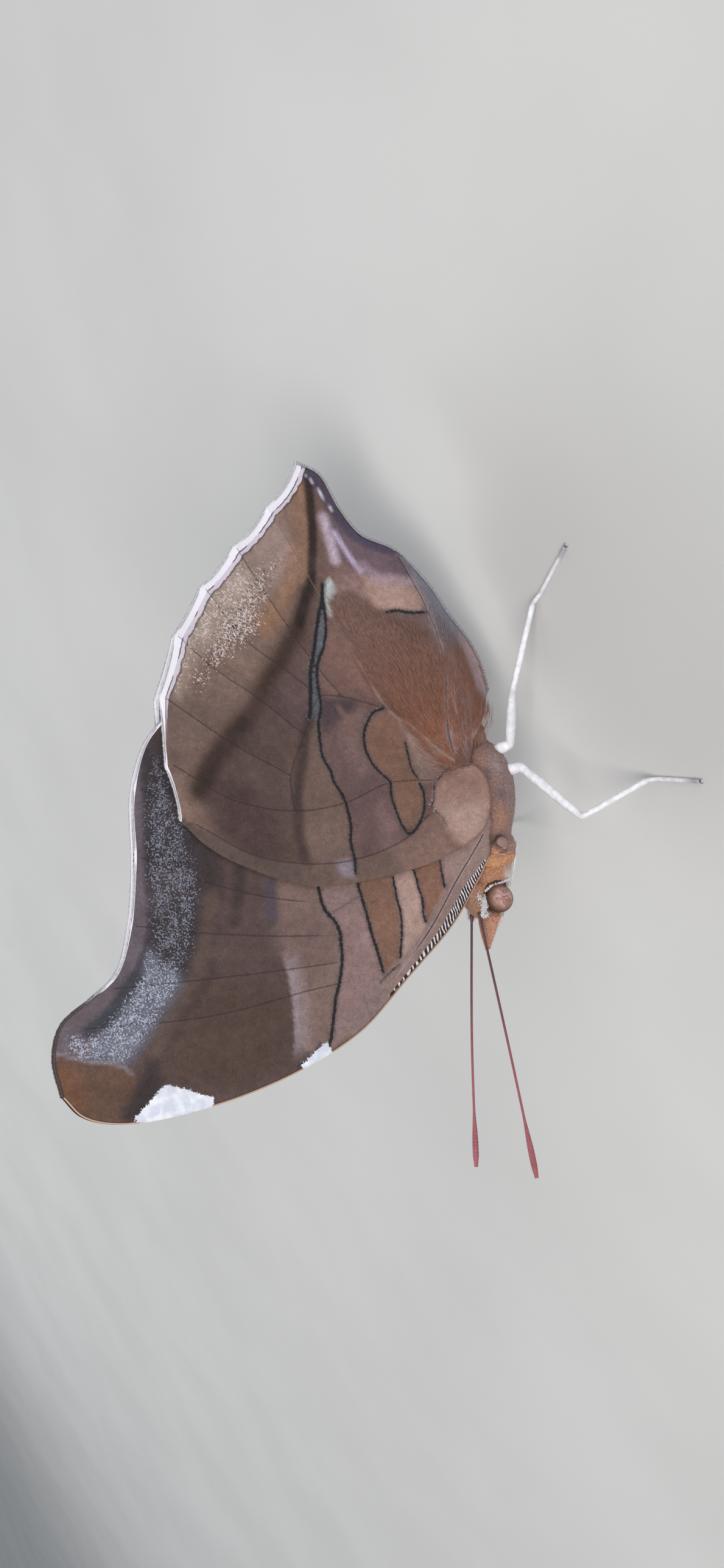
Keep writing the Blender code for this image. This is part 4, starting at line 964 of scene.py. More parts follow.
def forewing_look(points):
    """Colours and mark distances of the forewing's outer face."""
    paint = Paint(points, (144, 118, 115))
    paint.beyond((132, 97, 82), FORE_E[::-1], 0.3)
    paint.beyond((166, 139, 130), FORE_D[::-1], 0.3)
    paint.beyond((126, 94, 80), FORE_C[::-1], 0.3)
    paint.beyond((138, 113, 111), FORE_B[::-1], 0.3)
    paint.beyond((124, 101, 95), FORE_A[::-1], 0.3)
    paint.area((106, 84, 82), ((-5.0, 40.6), (-9.0, 40.2), (-12.0, 43.4), (-12.0, 46.4), (-4.0, 45.4)), 1.6,
               0.6)
    edge_soft = 0.4 + 1.2 * ease(-9.5, -6.0, points[:, 0])
    paint.beyond((84, 67, 64), FIELD_EDGE[::-1], edge_soft)
    paint.area((78, 61, 54), FIELD, 1.6, 0.9)
    paint.area((52, 43, 45), ((14.0, 46.6), (4.0, 49.0), (-1.6, 53.0), (-8.0, 60.0), (-6.0, 66.0),
               (10.0, 60.0), (24.0, 50.0)), 1.6, 0.85)
    # Painted shadow beside the ridge, then the painted highlight along it
    paint.band((60, 48, 45), RIDGE_PAINTED_SHADOW, 0.1, 1.6, 0.6)
    paint.band((92, 74, 67), RIDGE_PAINTED_HIGHLIGHT, 0.3, 1.3, 0.75)
    paint.band((58, 47, 46), SMUDGE_BROWN, 0.15, 1.2, 0.85)
    paint.band((68, 60, 74), SMUDGE_BLUE, 0.1, 1.3, 0.8)
    hem = to_line(points, smooth_line(LILAC_EDGE[::-1], 0.6))[1]
    pale_hem = ease(-2.8, 0.0, hem) * (1 - ease(0.0, 0.3, hem)) * ease(7.6, 10.0, -points[:, 0])
    paint.blend((152, 136, 140), pale_hem * 0.75)
    paint.area((52, 46, 51), FROST, 1.2, 0.9)
    paint.area((112, 114, 130), FROST_PALE, 1.2, 0.8)
    paint.blend((100, 89, 97), (1 - left_of(points, SUBMARGIN + ((-8.0, 73.0), (-14.0, 84.0)), 0.3)) * 0.9)
    paint.band((54, 52, 59), SUBMARGIN, 0.08, 0.5, 0.75)
    paint.band((56, 59, 66), TEAL, 0.45, 0.7, 0.92)
    paint.area((95, 71, 60), APEX_PATCH, 0.35, 1.0)
    paint.area((112, 76, 56), ((-6.9, 75.1), (-9.3, 74.2), (-12.6, 75.0), (-11.0, 77.4), (-8.0, 77.0)), 1.2,
               0.75)
    paint.area((52, 43, 46), APEX_DARK, 0.9, 0.9)
    paint.band((142, 136, 146), APEX_EDGE, 0.08, 0.25, 0.5)
    strip = to_line(points, smooth_line(STRIP_EDGE, 0.8))[1]
    upper = 1 - ease(42.0, 47.5, points[:, 1])
    paint.blend((142, 118, 112), ease(-0.3, 0.3, strip) * upper * 0.95)
    paint.blend((128, 109, 108), ease(-0.3, 0.3, strip) * ease(33.0, 40.0, points[:, 1]) * upper * 0.7)
    paint.band((110, 82, 62), ((-20.6, 44.0), (-21.0, 47.0), (-21.4, 52.0)), 0.25, 0.5, 0.7)
    frost = np.maximum(0.95 * within(points, FROST, 1.4), 0.98 * within(points, FROST_PALE, 1.0))
    frost = np.maximum(frost, 0.6 * near(points, FROST_HEM, 0.2, 1.2))
    frost = np.maximum(frost, 0.75 * pale_hem)
    soot = 0.6 * within(points, FROST_PALE, 1.2)
    return paint.colour, {"frost": frost, "soot": soot, "flecks": np.zeros(len(points))}


def zebra_phase(points, costa):
    """Stripe count along the front edge, distance from the edge and the striped band's width."""
    distance, _, run = to_line(points, costa)
    knots = np.linspace(0, 30, 300)
    pitch = np.interp(knots, (0, 11, 22), STRIPE_PITCH)
    counted = np.concatenate([[0.0], np.cumsum(np.diff(knots) / pitch[1:])])
    count = np.interp(run + STRIPE_SLANT * distance, knots, counted)
    width = 0.55 + 0.85 * ease(0.0, 5.5, run) - 0.78 * ease(6.0, 19.0, run)
    width = np.where((run < 0.4) | (run > ZEBRA_END), NO_MARK["stripe_width"], width)
    return count, distance, width


def wing_piece(name, side, runs, veins, pale_veins, inks, look, height, material):
    """A thin closed sheet with painted outer face, raised veins and shallow pleats."""
    fore = look is forewing_look
    border = np.vstack([run[:-1] for run in runs])
    vein_lines, pale_lines, marks, maroon = (
        [smooth_line(line, LINE_STEP) for line in lines]
        for lines in (veins, pale_veins, [line for line, _ in inks], [MAROON] if fore else []))
    corners, faces = sheet_points(border, vein_lines + pale_lines + marks + maroon)
    colour, values = look(corners)
    count = len(corners)

    def nearest(lines, halves=None):
        best = np.full(count, FAR)
        for line, half in zip(lines, halves or [0.0] * len(lines)):
            best = np.minimum(best, to_line(corners, line)[0] - half)
        return best

    vein, pale = nearest(vein_lines), nearest(pale_lines)
    distance, _, run = to_line(corners, runs[1])
    values |= {"vein": vein, "vein_pale": pale, "ink": nearest(marks, [half for _, half in inks]),
               "maroon": nearest(maroon) + 0.12 * ease(29.0, 35.0, corners[:, 1]),
               "snow": np.full(count, -FAR)}
    if fore:
        values["vein_ink"] = nearest(vein_lines[2:]) + 0.09 * (1 - ease(40.0, 44.0, corners[:, 1]))
        values["rim"] = distance / FORE_RIM + 3 * (1 - ease(10.5, 14.0, run))
        values["rim_wide"] = np.zeros(count)
        for outline in (TRIANGLE, WHITE_BITS):
            values["snow"] = np.maximum(values["snow"], depth_in(corners, np.array(outline + outline[:1])))
        values["zebra"], values["front_edge"], values["stripe_width"] = zebra_phase(corners, runs[0])
    else:
        values["vein_ink"] = np.minimum(vein + FAR * within(corners, LOBE, 0.6), 0.04 + 1.6 * pale)
        values["vein_pale"] = pale + 0.12 * ease(14.0, 24.0, corners[:, 0])
        values["rim"] = distance / (HIND_RIM + HIND_RIM_GROWTH * ease(8.0, 20.0, run))
        values["rim_wide"] = ease(9.0, 16.0, run)
        values |= {"zebra": np.zeros(count), "front_edge": np.full(count, FAR),
                   "stripe_width": np.full(count, NO_MARK["stripe_width"])}
    ribs = np.minimum(values["vein"], values["vein_pale"])
    middle = height(corners[:, 0], corners[:, 1])
    middle = middle - PLEAT * (1 - np.exp(-(ribs / PLEAT_REACH) ** 2))
    middle += RIPPLE * np.sin(0.9 * corners[:, 0] + 0.4 * corners[:, 1]) * np.sin(0.7 * corners[:, 1])
    relief = VEIN_RELIEF * np.exp(-(ribs / VEIN_REACH) ** 2)
    outer, inner = (np.stack([corners[:, 0], side * y, corners[:, 1]], axis=1) for y in
                    (middle + 0.5 * SHEET_THICK + relief, middle - 0.5 * SHEET_THICK))
    ends = np.concatenate([faces[:, [0, 1]], faces[:, [1, 2]], faces[:, [2, 0]]])
    directed = {(int(a), int(b)) for a, b in ends}
    rim = np.array(sorted(edge for edge in directed if edge[::-1] not in directed))
    rim_faces = np.concatenate([np.stack([rim[:, 1], rim[:, 0], rim[:, 0] + count], axis=1),
                                np.stack([rim[:, 1], rim[:, 0] + count, rim[:, 1] + count], axis=1)])
    closed = np.concatenate([faces, faces[:, ::-1] + count, rim_faces])
    a, b, c = (outer[faces[:, k]] for k in range(3))
    facing = np.cross(b - a, c - a)[:, 1].sum()
    closed = closed if side * facing > 0 else closed[:, ::-1]
    upper = Paint(corners, (166, 92, 40))
    upper.blend((44, 30, 26), ease(22.0, 34.0, from_root(corners[:, 0], corners[:, 1])))
    hidden = {key: np.full(count, NO_MARK.get(key, FAR)) for key in values}
    hidden |= {"vein": vein, "rim": values["rim"]}
    both = {key: np.concatenate([values[key], hidden[key]]) for key in values}
    return mesh_piece(name, material, "wing_scales", np.vstack([outer, inner]), closed,
                      np.vstack([colour, upper.colour]), values=both)


def wing_uv(points):
    """Bake coordinates of the hair on a wing: its side view, shrunk into the map."""
    return np.stack([(points[:, 0] + 30) / 90, (points[:, 2] + 5) / 90], axis=1)


def surface_frame(x, z, side, height):
    """Points and outward normals on a wing's middle surface."""
    step = 0.05
    y = height(x, z)
    slope_x = (height(x + step, z) - y) / step
    slope_z = (height(x, z + step) - y) / step
    points = np.stack([x, side * y, z], axis=1)
    normal = unit(np.stack([-slope_x, np.full(len(x), float(side)), -slope_z], axis=1))
    return points, normal


def wing_hair(name, side, material):
    """Long soft hair that fans from the hindwing's base over its inner part."""
    flat = np.stack([draw.uniform(1.0, 27.0, HAIR_COUNT), draw.uniform(4.0, 21.0, HAIR_COUNT)], axis=1)
    edge = to_line(flat, smooth_line(HINDWING_INNER, 0.5))[0]
    wanted = 0.95 * within(flat, HAIR_ZONE, 1.6) + 0.3 * within(flat, FLAP, 1.0) * ease(2.0, 3.4, edge)
    wanted *= 1 - 0.9 * within(flat, SPOT_STRIP, 0.5)
    wanted *= ease(1.4, 2.2, edge)
    kept = draw.uniform(0, 1, HAIR_COUNT) < wanted
    flat, edge = flat[kept], edge[kept]
    x, z = flat[:, 0], flat[:, 1]
    roots, normal = surface_frame(x, z, side, hind_sheet)
    roots = roots + normal * 0.04
    fan = unit(flat - HAIR_FROM)
    turn = draw.normal(0, 0.06, len(x))
    along = np.stack([fan[:, 0] * np.cos(turn) - fan[:, 1] * np.sin(turn), np.zeros(len(x)),
                      fan[:, 0] * np.sin(turn) + fan[:, 1] * np.cos(turn)], axis=1)
    lean = draw.uniform(0.02, 0.08, len(x))[:, None]
    along = unit(along - normal * (along * normal).sum(axis=1)[:, None] + normal * lean)
    away = np.linalg.norm(flat - HAIR_FROM, axis=1)
    length = draw.uniform(1.2, 2.4, len(x)) * (1 - 0.45 * ease(14.0, 24.0, away))
    length = np.minimum(length, 0.3 + 0.6 * edge)
    width = draw.uniform(0.035, 0.06, len(x))
    warm = 1 - ease(5.0, 24.0, away)
    colour = np.outer(1 - warm, tint(148, 114, 104)) + np.outer(warm, tint(158, 106, 84))
    grey = within(flat, ((30.4, 8.6), (24.0, 9.0), (15.6, 9.8), (17.0, 5.0), (27.0, 6.0)), 2.0)
    colour = colour * (1 - 0.8 * grey[:, None]) + tint(144, 136, 144) * 0.8 * grey[:, None]
    colour = colour * draw.uniform(0.85, 1.18, len(x))[:, None]
    mesh_piece(name, material, "wing_scales",
               *blades(roots, along, normal, length, width, colour, wing_uv(roots), 0.04))


def fringe(name, side, margin, height, colours, length, material, width=0.1, spread=0.05):
    """Fine scales that stand out in a row from a wing's outer edge."""
    line = smooth_line(margin, 0.065)
    tangent = unit(np.gradient(line, axis=0))
    outward = np.stack([tangent[:, 1], -tangent[:, 0]], axis=1)
    outward *= np.sign(((line - FRINGE_INSIDE) * outward).sum(axis=1))[:, None]
    start = line - outward * 0.12
    x, z = start[:, 0], start[:, 1]
    roots, normal = surface_frame(x, z, side, height)
    tilt = draw.normal(0, spread, len(x))
    along = np.stack([outward[:, 0] + tangent[:, 0] * tilt, draw.normal(0, 0.06, len(x)),
                      outward[:, 1] + tangent[:, 1] * tilt], axis=1)
    colour = colours(np.linspace(0, 1, len(x))) * draw.uniform(0.85, 1.1, len(x))[:, None]
    length, width = (size * draw.uniform(low, high, len(x)) for size, low, high in
                     ((length, 0.75, 1.1), (width, 0.8, 1.2)))
    colour = np.clip(colour, 0, 1)
    mesh_piece(name, material, "wing_scales",
               *blades(roots, along, normal, length, width, colour, wing_uv(roots), 0.03, 1.05))


def wings(material, hair_material):
    """All four wings with their fringes and the hair at the base."""
    hind_tips = [HINDWING_PALE_VEIN[-1]] + [vein[-1] for vein in HINDWING_VEINS[:5]]
    hind_runs, fore_runs = ([smooth_line(run, RUN_STEP) for run in runs] for runs in (
        (HINDWING_COSTA, HINDWING_MARGIN, HINDWING_INNER, HINDWING_ROOT),
        (FOREWING_COSTA, FOREWING_MARGIN, FOREWING_INNER, FOREWING_ROOT)))
    hind_runs[1] = scalloped(HINDWING_MARGIN, hind_tips)
    white, dark = tint(222, 219, 225), tint(96, 84, 86)

    def hind_fringe(share):
        return np.tile(white, (len(share), 1))

    def inner_fringe(share):
        warm = ease(0.7, 0.95, share)[:, None]
        return tint(170, 166, 178) * (1 - warm) + tint(156, 130, 120) * warm

    def fore_fringe(share):
        mixed = ease(0.22, 0.31, share)[:, None] * (1 - 0.6 * ease(0.93, 1.0, share)[:, None])
        return dark * (1 - mixed) + white * mixed

    for word, side in SIDES:
        fore = wing_piece("wing_fore_" + word, side, fore_runs, FOREWING_VEINS, (), FORE_INKS,
                          forewing_look, fore_sheet, material)
        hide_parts("forewing_" + word)
        hind = wing_piece("wing_hind_" + word, side, hind_runs, HINDWING_VEINS, (HINDWING_PALE_VEIN,),
                          HIND_INKS, hindwing_look, hind_sheet, material)
        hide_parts("hindwing_" + word)
        fringe("fringe_hind_" + word, side, hind_runs[1], hind_sheet, hind_fringe, 0.32, hair_material)
        fringe("fringe_fore_" + word, side, FOREWING_MARGIN, fore_sheet, fore_fringe, 0.28, hair_material)
        for row in (0.35, 0.5):
            name = f"fringe_inner_{word}_{row * 100:.0f}"
            fringe(name, side, HINDWING_INNER, hind_sheet, inner_fringe, row, hair_material, 0.05, 0.35)
        wing_hair("hair_hind_" + word, side, hair_material)


def from_tegula(points):
    """Distance from the middle of the nearer shield, seen from the side."""
    away = np.sqrt((points[:, 0] - TEGULA_AT[0]) ** 2 + (points[:, 2] - TEGULA_AT[2]) ** 2)
    return np.where(np.abs(points[:, 1]) > 1.5, away, FAR)


def body_colour(points):
    """Colours of the coat by place: collar, shields, back, breast, belly and head."""
    x, z = points[:, 0], points[:, 2]
    u, v = thorax_axes(x, z)
    colour = np.tile(tint(138, 114, 110), (len(points), 1))

    def lay(shade, share):
        nonlocal colour
        colour = colour * (1 - share[:, None]) + tint(*shade) * share[:, None]

    lay((140, 110, 98), ease(-0.2, 0.5, v) * 0.8)
    lay((146, 128, 130), (1 - ease(-0.8, -0.2, v)) * 0.7)
    lay((182, 156, 134), (1 - ease(-1.05, -0.85, v)) * 0.6)
    lay((132, 106, 96), ease(2.0, 8.0, x))
    lay((164, 138, 120), ease(2.0, 8.0, x) * (1 - ease(7.0, 9.5, z)) * 0.8)
    for shade, place, reach, share in BREAST_SPOTS:
        lay(shade, share * np.exp(-((x - place[0]) ** 2 + (z - place[1]) ** 2) / reach ** 2))
    collar = np.exp(-((u - 0.93) / 0.16) ** 2)
    lay((190, 142, 108), np.clip(collar * 1.1, 0, 1))
    lay((168, 124, 102), 1 - ease(-12.0, -11.2, x))
    lay((84, 64, 62), (1 - ease(1.0, 1.5, from_tegula(points))) * 0.85)
    lay((146, 114, 98), 1 - ease(-13.4, -12.6, x))
    under = (1 - ease(-13.4, -11.4, x)) * ease(-15.6, -14.4, x) * (1 - ease(15.6, 17.0, z))
    lay((226, 222, 222), under * 0.9)
    return colour * (1.05, 0.985, 0.93)


def body_uv(points):
    """An unwrap round the body: angle about its long axis, and length along it."""
    axis_z = np.interp(points[:, 0], (-18.0, -3.8, 2.0, 28.0), (21.0, 13.4, 10.6, 9.4))
    angle = np.arctan2(points[:, 1], points[:, 2] - axis_z) / (2 * math.pi)
    return np.stack([0.02 + 0.95 * (angle + 0.5), 0.02 + 0.95 * (points[:, 0] + 20) / 50], axis=1)


def skin():
    """One seamless skin under the coat of thorax, abdomen and head."""
    work = bmesh.new()
    for name in ("thorax", "abdomen", "head"):
        work.from_mesh(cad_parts[name].data)
    bmesh.ops.remove_doubles(work, verts=work.verts, dist=0.01 * MM)
    bmesh.ops.recalc_face_normals(work, faces=work.faces)
    work.normal_update()
    for vertex in work.verts:
        vertex.co += vertex.normal * GAP * MM
    mesh = bpy.data.meshes.new("body_skin")
    work.to_mesh(mesh)
    work.free()
    made = bpy.data.objects.new("body_skin", mesh)
    bpy.context.scene.collection.objects.link(made)
    remesh = made.modifiers.new("Remesh", "REMESH")
    remesh.mode = "VOXEL"
    remesh.voxel_size = SKIN_VOXEL * MM
    smooth = made.modifiers.new("Smooth", "SMOOTH")
    smooth.iterations = 8
    shrink = made.modifiers.new("Displace", "DISPLACE")
    shrink.mid_level = 0
    shrink.strength = -(GAP + SKIN_DEPTH) * MM
    graph = bpy.context.evaluated_depsgraph_get()
    result = bpy.data.meshes.new_from_object(made.evaluated_get(graph))
    made.modifiers.clear()
    made.data = result
    points = read(result.vertices, "co", np.float32, 3) / MM
    normals = read(result.vertices, "normal", np.float32, 3)
    neck = ease(-14.8, -13.0, points[:, 0]) * (1 - ease(-10.0, -7.5, points[:, 0]))
    points = points + normals * (NECK_FILL * neck)[:, None]
    result.vertices.foreach_set("co", (points * MM).astype(np.float32).ravel())
    paint_points(result, body_colour(points))
    result.shade_smooth()
    result.materials.clear()
    result.materials.append(coat_material("skin_scales", 0.85, 0.25, 5.0))
    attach(made, "root")
    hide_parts("thorax", "abdomen", "head")
    return made


def roots_on(mesh, count, keep):
    """Random places on a mesh, spread by area, where keep says so: points and normals."""
    mesh.calc_loop_triangles()
    corners = read(mesh.loop_triangles, "vertices", np.int32, 3)
    triangles = (read(mesh.vertices, "co", np.float32, 3) / MM)[corners]
    crossed = np.cross(triangles[:, 1] - triangles[:, 0], triangles[:, 2] - triangles[:, 0])
    size = np.linalg.norm(crossed, axis=1)
    size = size * keep(triangles.mean(axis=1))
    chosen = draw.choice(len(size), count, p=size / size.sum())
    a, b = draw.uniform(0, 1, (2, count))
    fold = a + b > 1
    a, b = np.where(fold, 1 - a, a), np.where(fold, 1 - b, b)
    t = triangles[chosen]
    points = t[:, 0] + a[:, None] * (t[:, 1] - t[:, 0]) + b[:, None] * (t[:, 2] - t[:, 0])
    return points, unit(crossed[chosen])


def coat(name, mesh, count, keep, flow, length, width, lift, material, slot="fur_brown", shade=body_colour,
         gain=FUR_GAIN, spread=0.16):
    """Tufts of three blades each that lie along the flow and lean out a little."""
    roots, normal = roots_on(mesh, count, keep)
    lie = flow(roots)
    lie = unit(lie - normal * (lie * normal).sum(axis=1)[:, None])
    side = np.cross(normal, lie)
    base = gain * shade(roots)
    tone = draw.uniform(0.92, 1.08, count)
    reach = length(roots) * draw.uniform(0.7, 1.2, count)
    parts = []
    for blade in (-1, 0, 1):
        fan = spread * blade + draw.normal(0, 0.6 * spread, count)
        along = lie + side * fan[:, None] + normal * (lift + draw.normal(0, 0.04, count))[:, None]
        start = roots + side * (0.05 * blade) - normal * 0.04
        colour = np.clip(base * (tone * draw.uniform(0.93, 1.07, count))[:, None], 0, 0.92)
        length_here = reach * draw.uniform(0.8, 1.1, count)
        width_here = width * draw.uniform(0.8, 1.2, count)
        parts.append(blades(start, along, normal, length_here, width_here, colour, body_uv(roots), -0.04))
    shape = joined(parts)
    shape[0][:, 2] = np.maximum(shape[0][:, 2], 0.05)
    mesh_piece(name, material, slot, *shape)


def even(value):
    """The same value at every point."""
    return lambda points: np.full(len(points), value)


def body_coats(made):
    """Fur in pieces: on each side of the breast, short on the abdomen and close on the head."""
    fur = coat_material("fur_hair", 0.9, 0.1, 4.0, 0.15)

    def backward(points):
        flow = np.tile((1.0, 0.0, -0.35), (len(points), 1))
        flow[:, 2] -= 0.25 * (points[:, 2] < 12)
        return flow

    def belly(points):
        return (points[:, 0] > 4.0).astype(float)

    def face(points):
        folded = points * (1, 0, 1) + np.abs(points * (0, 1, 0))
        free = np.linalg.norm((folded - EYE_AT) / EYE_SIZE, axis=1) > 1.12
        return ((points[:, 0] <= HEAD_BACK) & free).astype(float)

    def breast_length(points):
        _, v = thorax_axes(points[:, 0], points[:, 2])
        return 0.66 + 0.5 * (1 - ease(-1.05, -0.7, v)) + 0.2 * ease(0.6, 1.0, v)

    for word, side in SIDES:
        def breast(points):
            chosen = (points[:, 0] > HEAD_BACK) & (points[:, 0] <= 4.5) & (side * points[:, 1] > 0)
            return (chosen & (from_tegula(points) > 0.9)).astype(float)

        coat("fur_thorax_" + word, made.data, BREAST_TUFTS, breast, backward, breast_length, 0.09, 0.06, fur)
    coat("fur_abdomen", made.data, BELLY_TUFTS, belly, backward, even(0.65), 0.09, 0.12, fur)
    coat("fur_head", made.data, FACE_TUFTS, face, backward, even(0.28), 0.07, 0.08, fur)


def egg(name, centre, size, material, slot, colour, values=None):
    """A smooth egg on the raised body axis, with colours and values worked out at its points."""
    long, wide, high = size
    around, rings = 64, 40
    local = [(-long, 0.0, 0.0)]
    for ring in range(1, rings):
        u = -math.cos(math.pi * ring / rings)
        p = math.sqrt(1 - u * u)
        for turn in (2 * math.pi * step / around for step in range(around)):
            local.append((long * u, wide * p * math.sin(turn), high * p * math.cos(turn)))
    local.append((long, 0.0, 0.0))
    points = np.array([body_point(a, up, side, centre) for a, side, up in local])
    faces = []
    last, low = len(local) - 1, 1 + (rings - 2) * around
    for step in range(around):
        after = (step + 1) % around
        faces.append((0, 1 + step, 1 + after))
        faces += between_rings(range(1, low, around), step, after, around)
        faces.append((last, low + after, low + step))
    return mesh_piece(name, material, slot, points, faces, colour(points), values=values and values(points))


def between_rings(starts, step, after, around):
    """Two triangles for one step round, between each ring of points and the next."""
    for a in starts:
        yield a + step, a + around + step, a + around + after
        yield a + step, a + around + after, a + after


def rod(line, radii, sides, thick=None):
    """Points, faces and the turn of each point for a closed tube along a line."""
    line = np.array(line, float)
    thick = radii if thick is None else thick
    tangents = unit(np.gradient(line, axis=0))
    sideways = np.array((0.0, 1.0, 0.0)) if abs(tangents[0][1]) < 0.7 else np.array((1.0, 0.0, 0.0))
    points, turns = [], []
    for place, tangent, radius, wide in zip(line, tangents, radii, thick):
        sideways = sideways - tangent * sideways.dot(tangent)
        sideways /= np.linalg.norm(sideways)
        upward = np.cross(sideways, tangent)
        for step in range(sides):
            turn = 2 * math.pi * (step + 0.5) / sides
            points.append(place + sideways * (wide * math.sin(turn)) + upward * (radius * math.cos(turn)))
            turns.append(turn)
    start, end = len(points), len(points) + 1
    last = (len(line) - 1) * sides
    faces = []
    for step in range(sides):
        after = (step + 1) % sides
        faces += [(start, step, after), (end, last + after, last + step)]
        faces += between_rings(range(0, last, sides), step, after, sides)
    return np.array(points + [line[0], line[-1]]), np.array(faces), np.array(turns + [0.0, 0.0])


def eyes():
    """Domes that stand over the head's sides, paler toward their middles."""
    material = eye_material()
    for word, side in SIDES:
        centre, = mirrored((EYE_AT,), side)

        def centred(points):
            return np.clip((points[:, 1] - centre[1]) / EYE_SIZE[1] * side, 0, 1)

        def shade(points):
            share = ease(0.2, 0.85, centred(points))[:, None]
            return tint(78, 53, 40) * (1 - share) + tint(156, 116, 94) * share

        # The centre value tells the eye material where the painted reflection lies
        made = egg("eye_dome_" + word, centre, EYE_SIZE, material, "eye", shade,
                   lambda points: {"centre": ease(0.55, 0.95, centred(points))})
        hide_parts("eye_" + word)


def mirrored(points, side):
    """Right-side points taken to the side asked for."""
    return [(p[0], side * p[1], p[2]) for p in points]


def palps():
    """Flat-sided palps clad in orange-brown scales, with a white lower edge."""
    material = scale_material("palp_scales", 0.7, 0.16, 6.0)
    fuzz = coat_material("palp_fuzz", 0.85, 0.12, 5.0)
    for word, side in SIDES:
        line = smooth_line(mirrored(PALP_LINE, side), 0.12)
        share = np.linspace(0, 1, len(line))
        given = np.linspace(0, 1, len(PALP_LINE))
        deep, thick = np.interp(share, given, PALP_DEEP), np.interp(share, given, PALP_THICK)
        points, faces, turns = rod(line, deep, PALP_SIDES, thick)
        orange, brown, white = tint(204, 152, 126), tint(172, 128, 112), tint(240, 236, 234)
        upper = ease(0.2, 1.0, np.cos(turns))[:, None]
        lower = ease(0.6, 0.85, -np.cos(turns))[:, None]
        colour = orange * (1 - 0.5 * upper) + brown * 0.5 * upper
        colour = colour * (1 - lower) + white * lower
        made = mesh_piece("palp_body_" + word, material, "palp_orange", points, faces, colour)
        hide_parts("palp_" + word)

        def forward(roots):
            return np.tile((-1.0, 0.0, 0.75), (len(roots), 1))

        def shade(roots):
            nearest = np.argmin(((roots[:, None, :] - points[None, :, :]) ** 2).sum(axis=2), axis=1)
            return colour[nearest]

        coat("palp_coat_" + word, made.data, PALP_TUFTS, even(1.0), forward, even(0.24), 0.055, 0.05, fuzz,
             "palp_orange", shade, 1.4, 0.12)


def antennae():
    """Thin ringed feelers, dark at the base and red toward the slender club."""
    material = scale_material("antenna_rings", 0.5, 0.1, 7.0, 0.1)
    for (word, side), given in zip(SIDES, (ANTENNA_LEFT, ANTENNA_RIGHT)):
        line = np.vstack([mirrored((ANTENNA_ROOT,), side), smooth_line(given, RING_PITCH / RING_STEPS)])
        share = np.linspace(0, 1, len(line))
        swell = ease(1 - CLUB_PART, 1 - 0.35 * CLUB_PART, share) * (1 - 0.6 * ease(0.95, 1.0, share))
        ring = 1 + 0.05 * np.cos(2 * math.pi * np.arange(len(line)) / RING_STEPS)
        radii = (ANTENNA_SHAFT + (ANTENNA_CLUB - ANTENNA_SHAFT) * swell) * ring
        radii[:8] = np.maximum(radii[:8], 0.32 - 0.02 * np.arange(8))
        points, faces, _ = rod(line, radii, ROD_SIDES)
        reddened = ease(0.15, 0.75, np.concatenate([np.repeat(share, ROD_SIDES), [0.0, 1.0]]))[:, None]
        groove = np.concatenate([np.repeat(ring, ROD_SIDES), [1.0, 1.0]])[:, None]
        colour = tint(92, 58, 60) * (1 - reddened) + tint(158, 88, 96) * reddened
        colour = colour * (0.25 + 0.75 * groove)
        made = mesh_piece("feeler_" + word, material, "antenna_red", points, faces, colour)
        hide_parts("antenna_" + word)


def between(a, b, share):
    """The place a share of the way from one point to another."""
    return a + (b - a) * share


def cone(root, tip, radius, colour, sides=6):
    """A small thorn or claw joint that narrows to a point."""
    line = [root, between(root, tip, 0.5), tip]
    points, faces, _ = rod(line, [radius, 0.65 * radius, 0.12 * radius], sides)
    return points, faces, np.tile(colour, (len(points), 1))


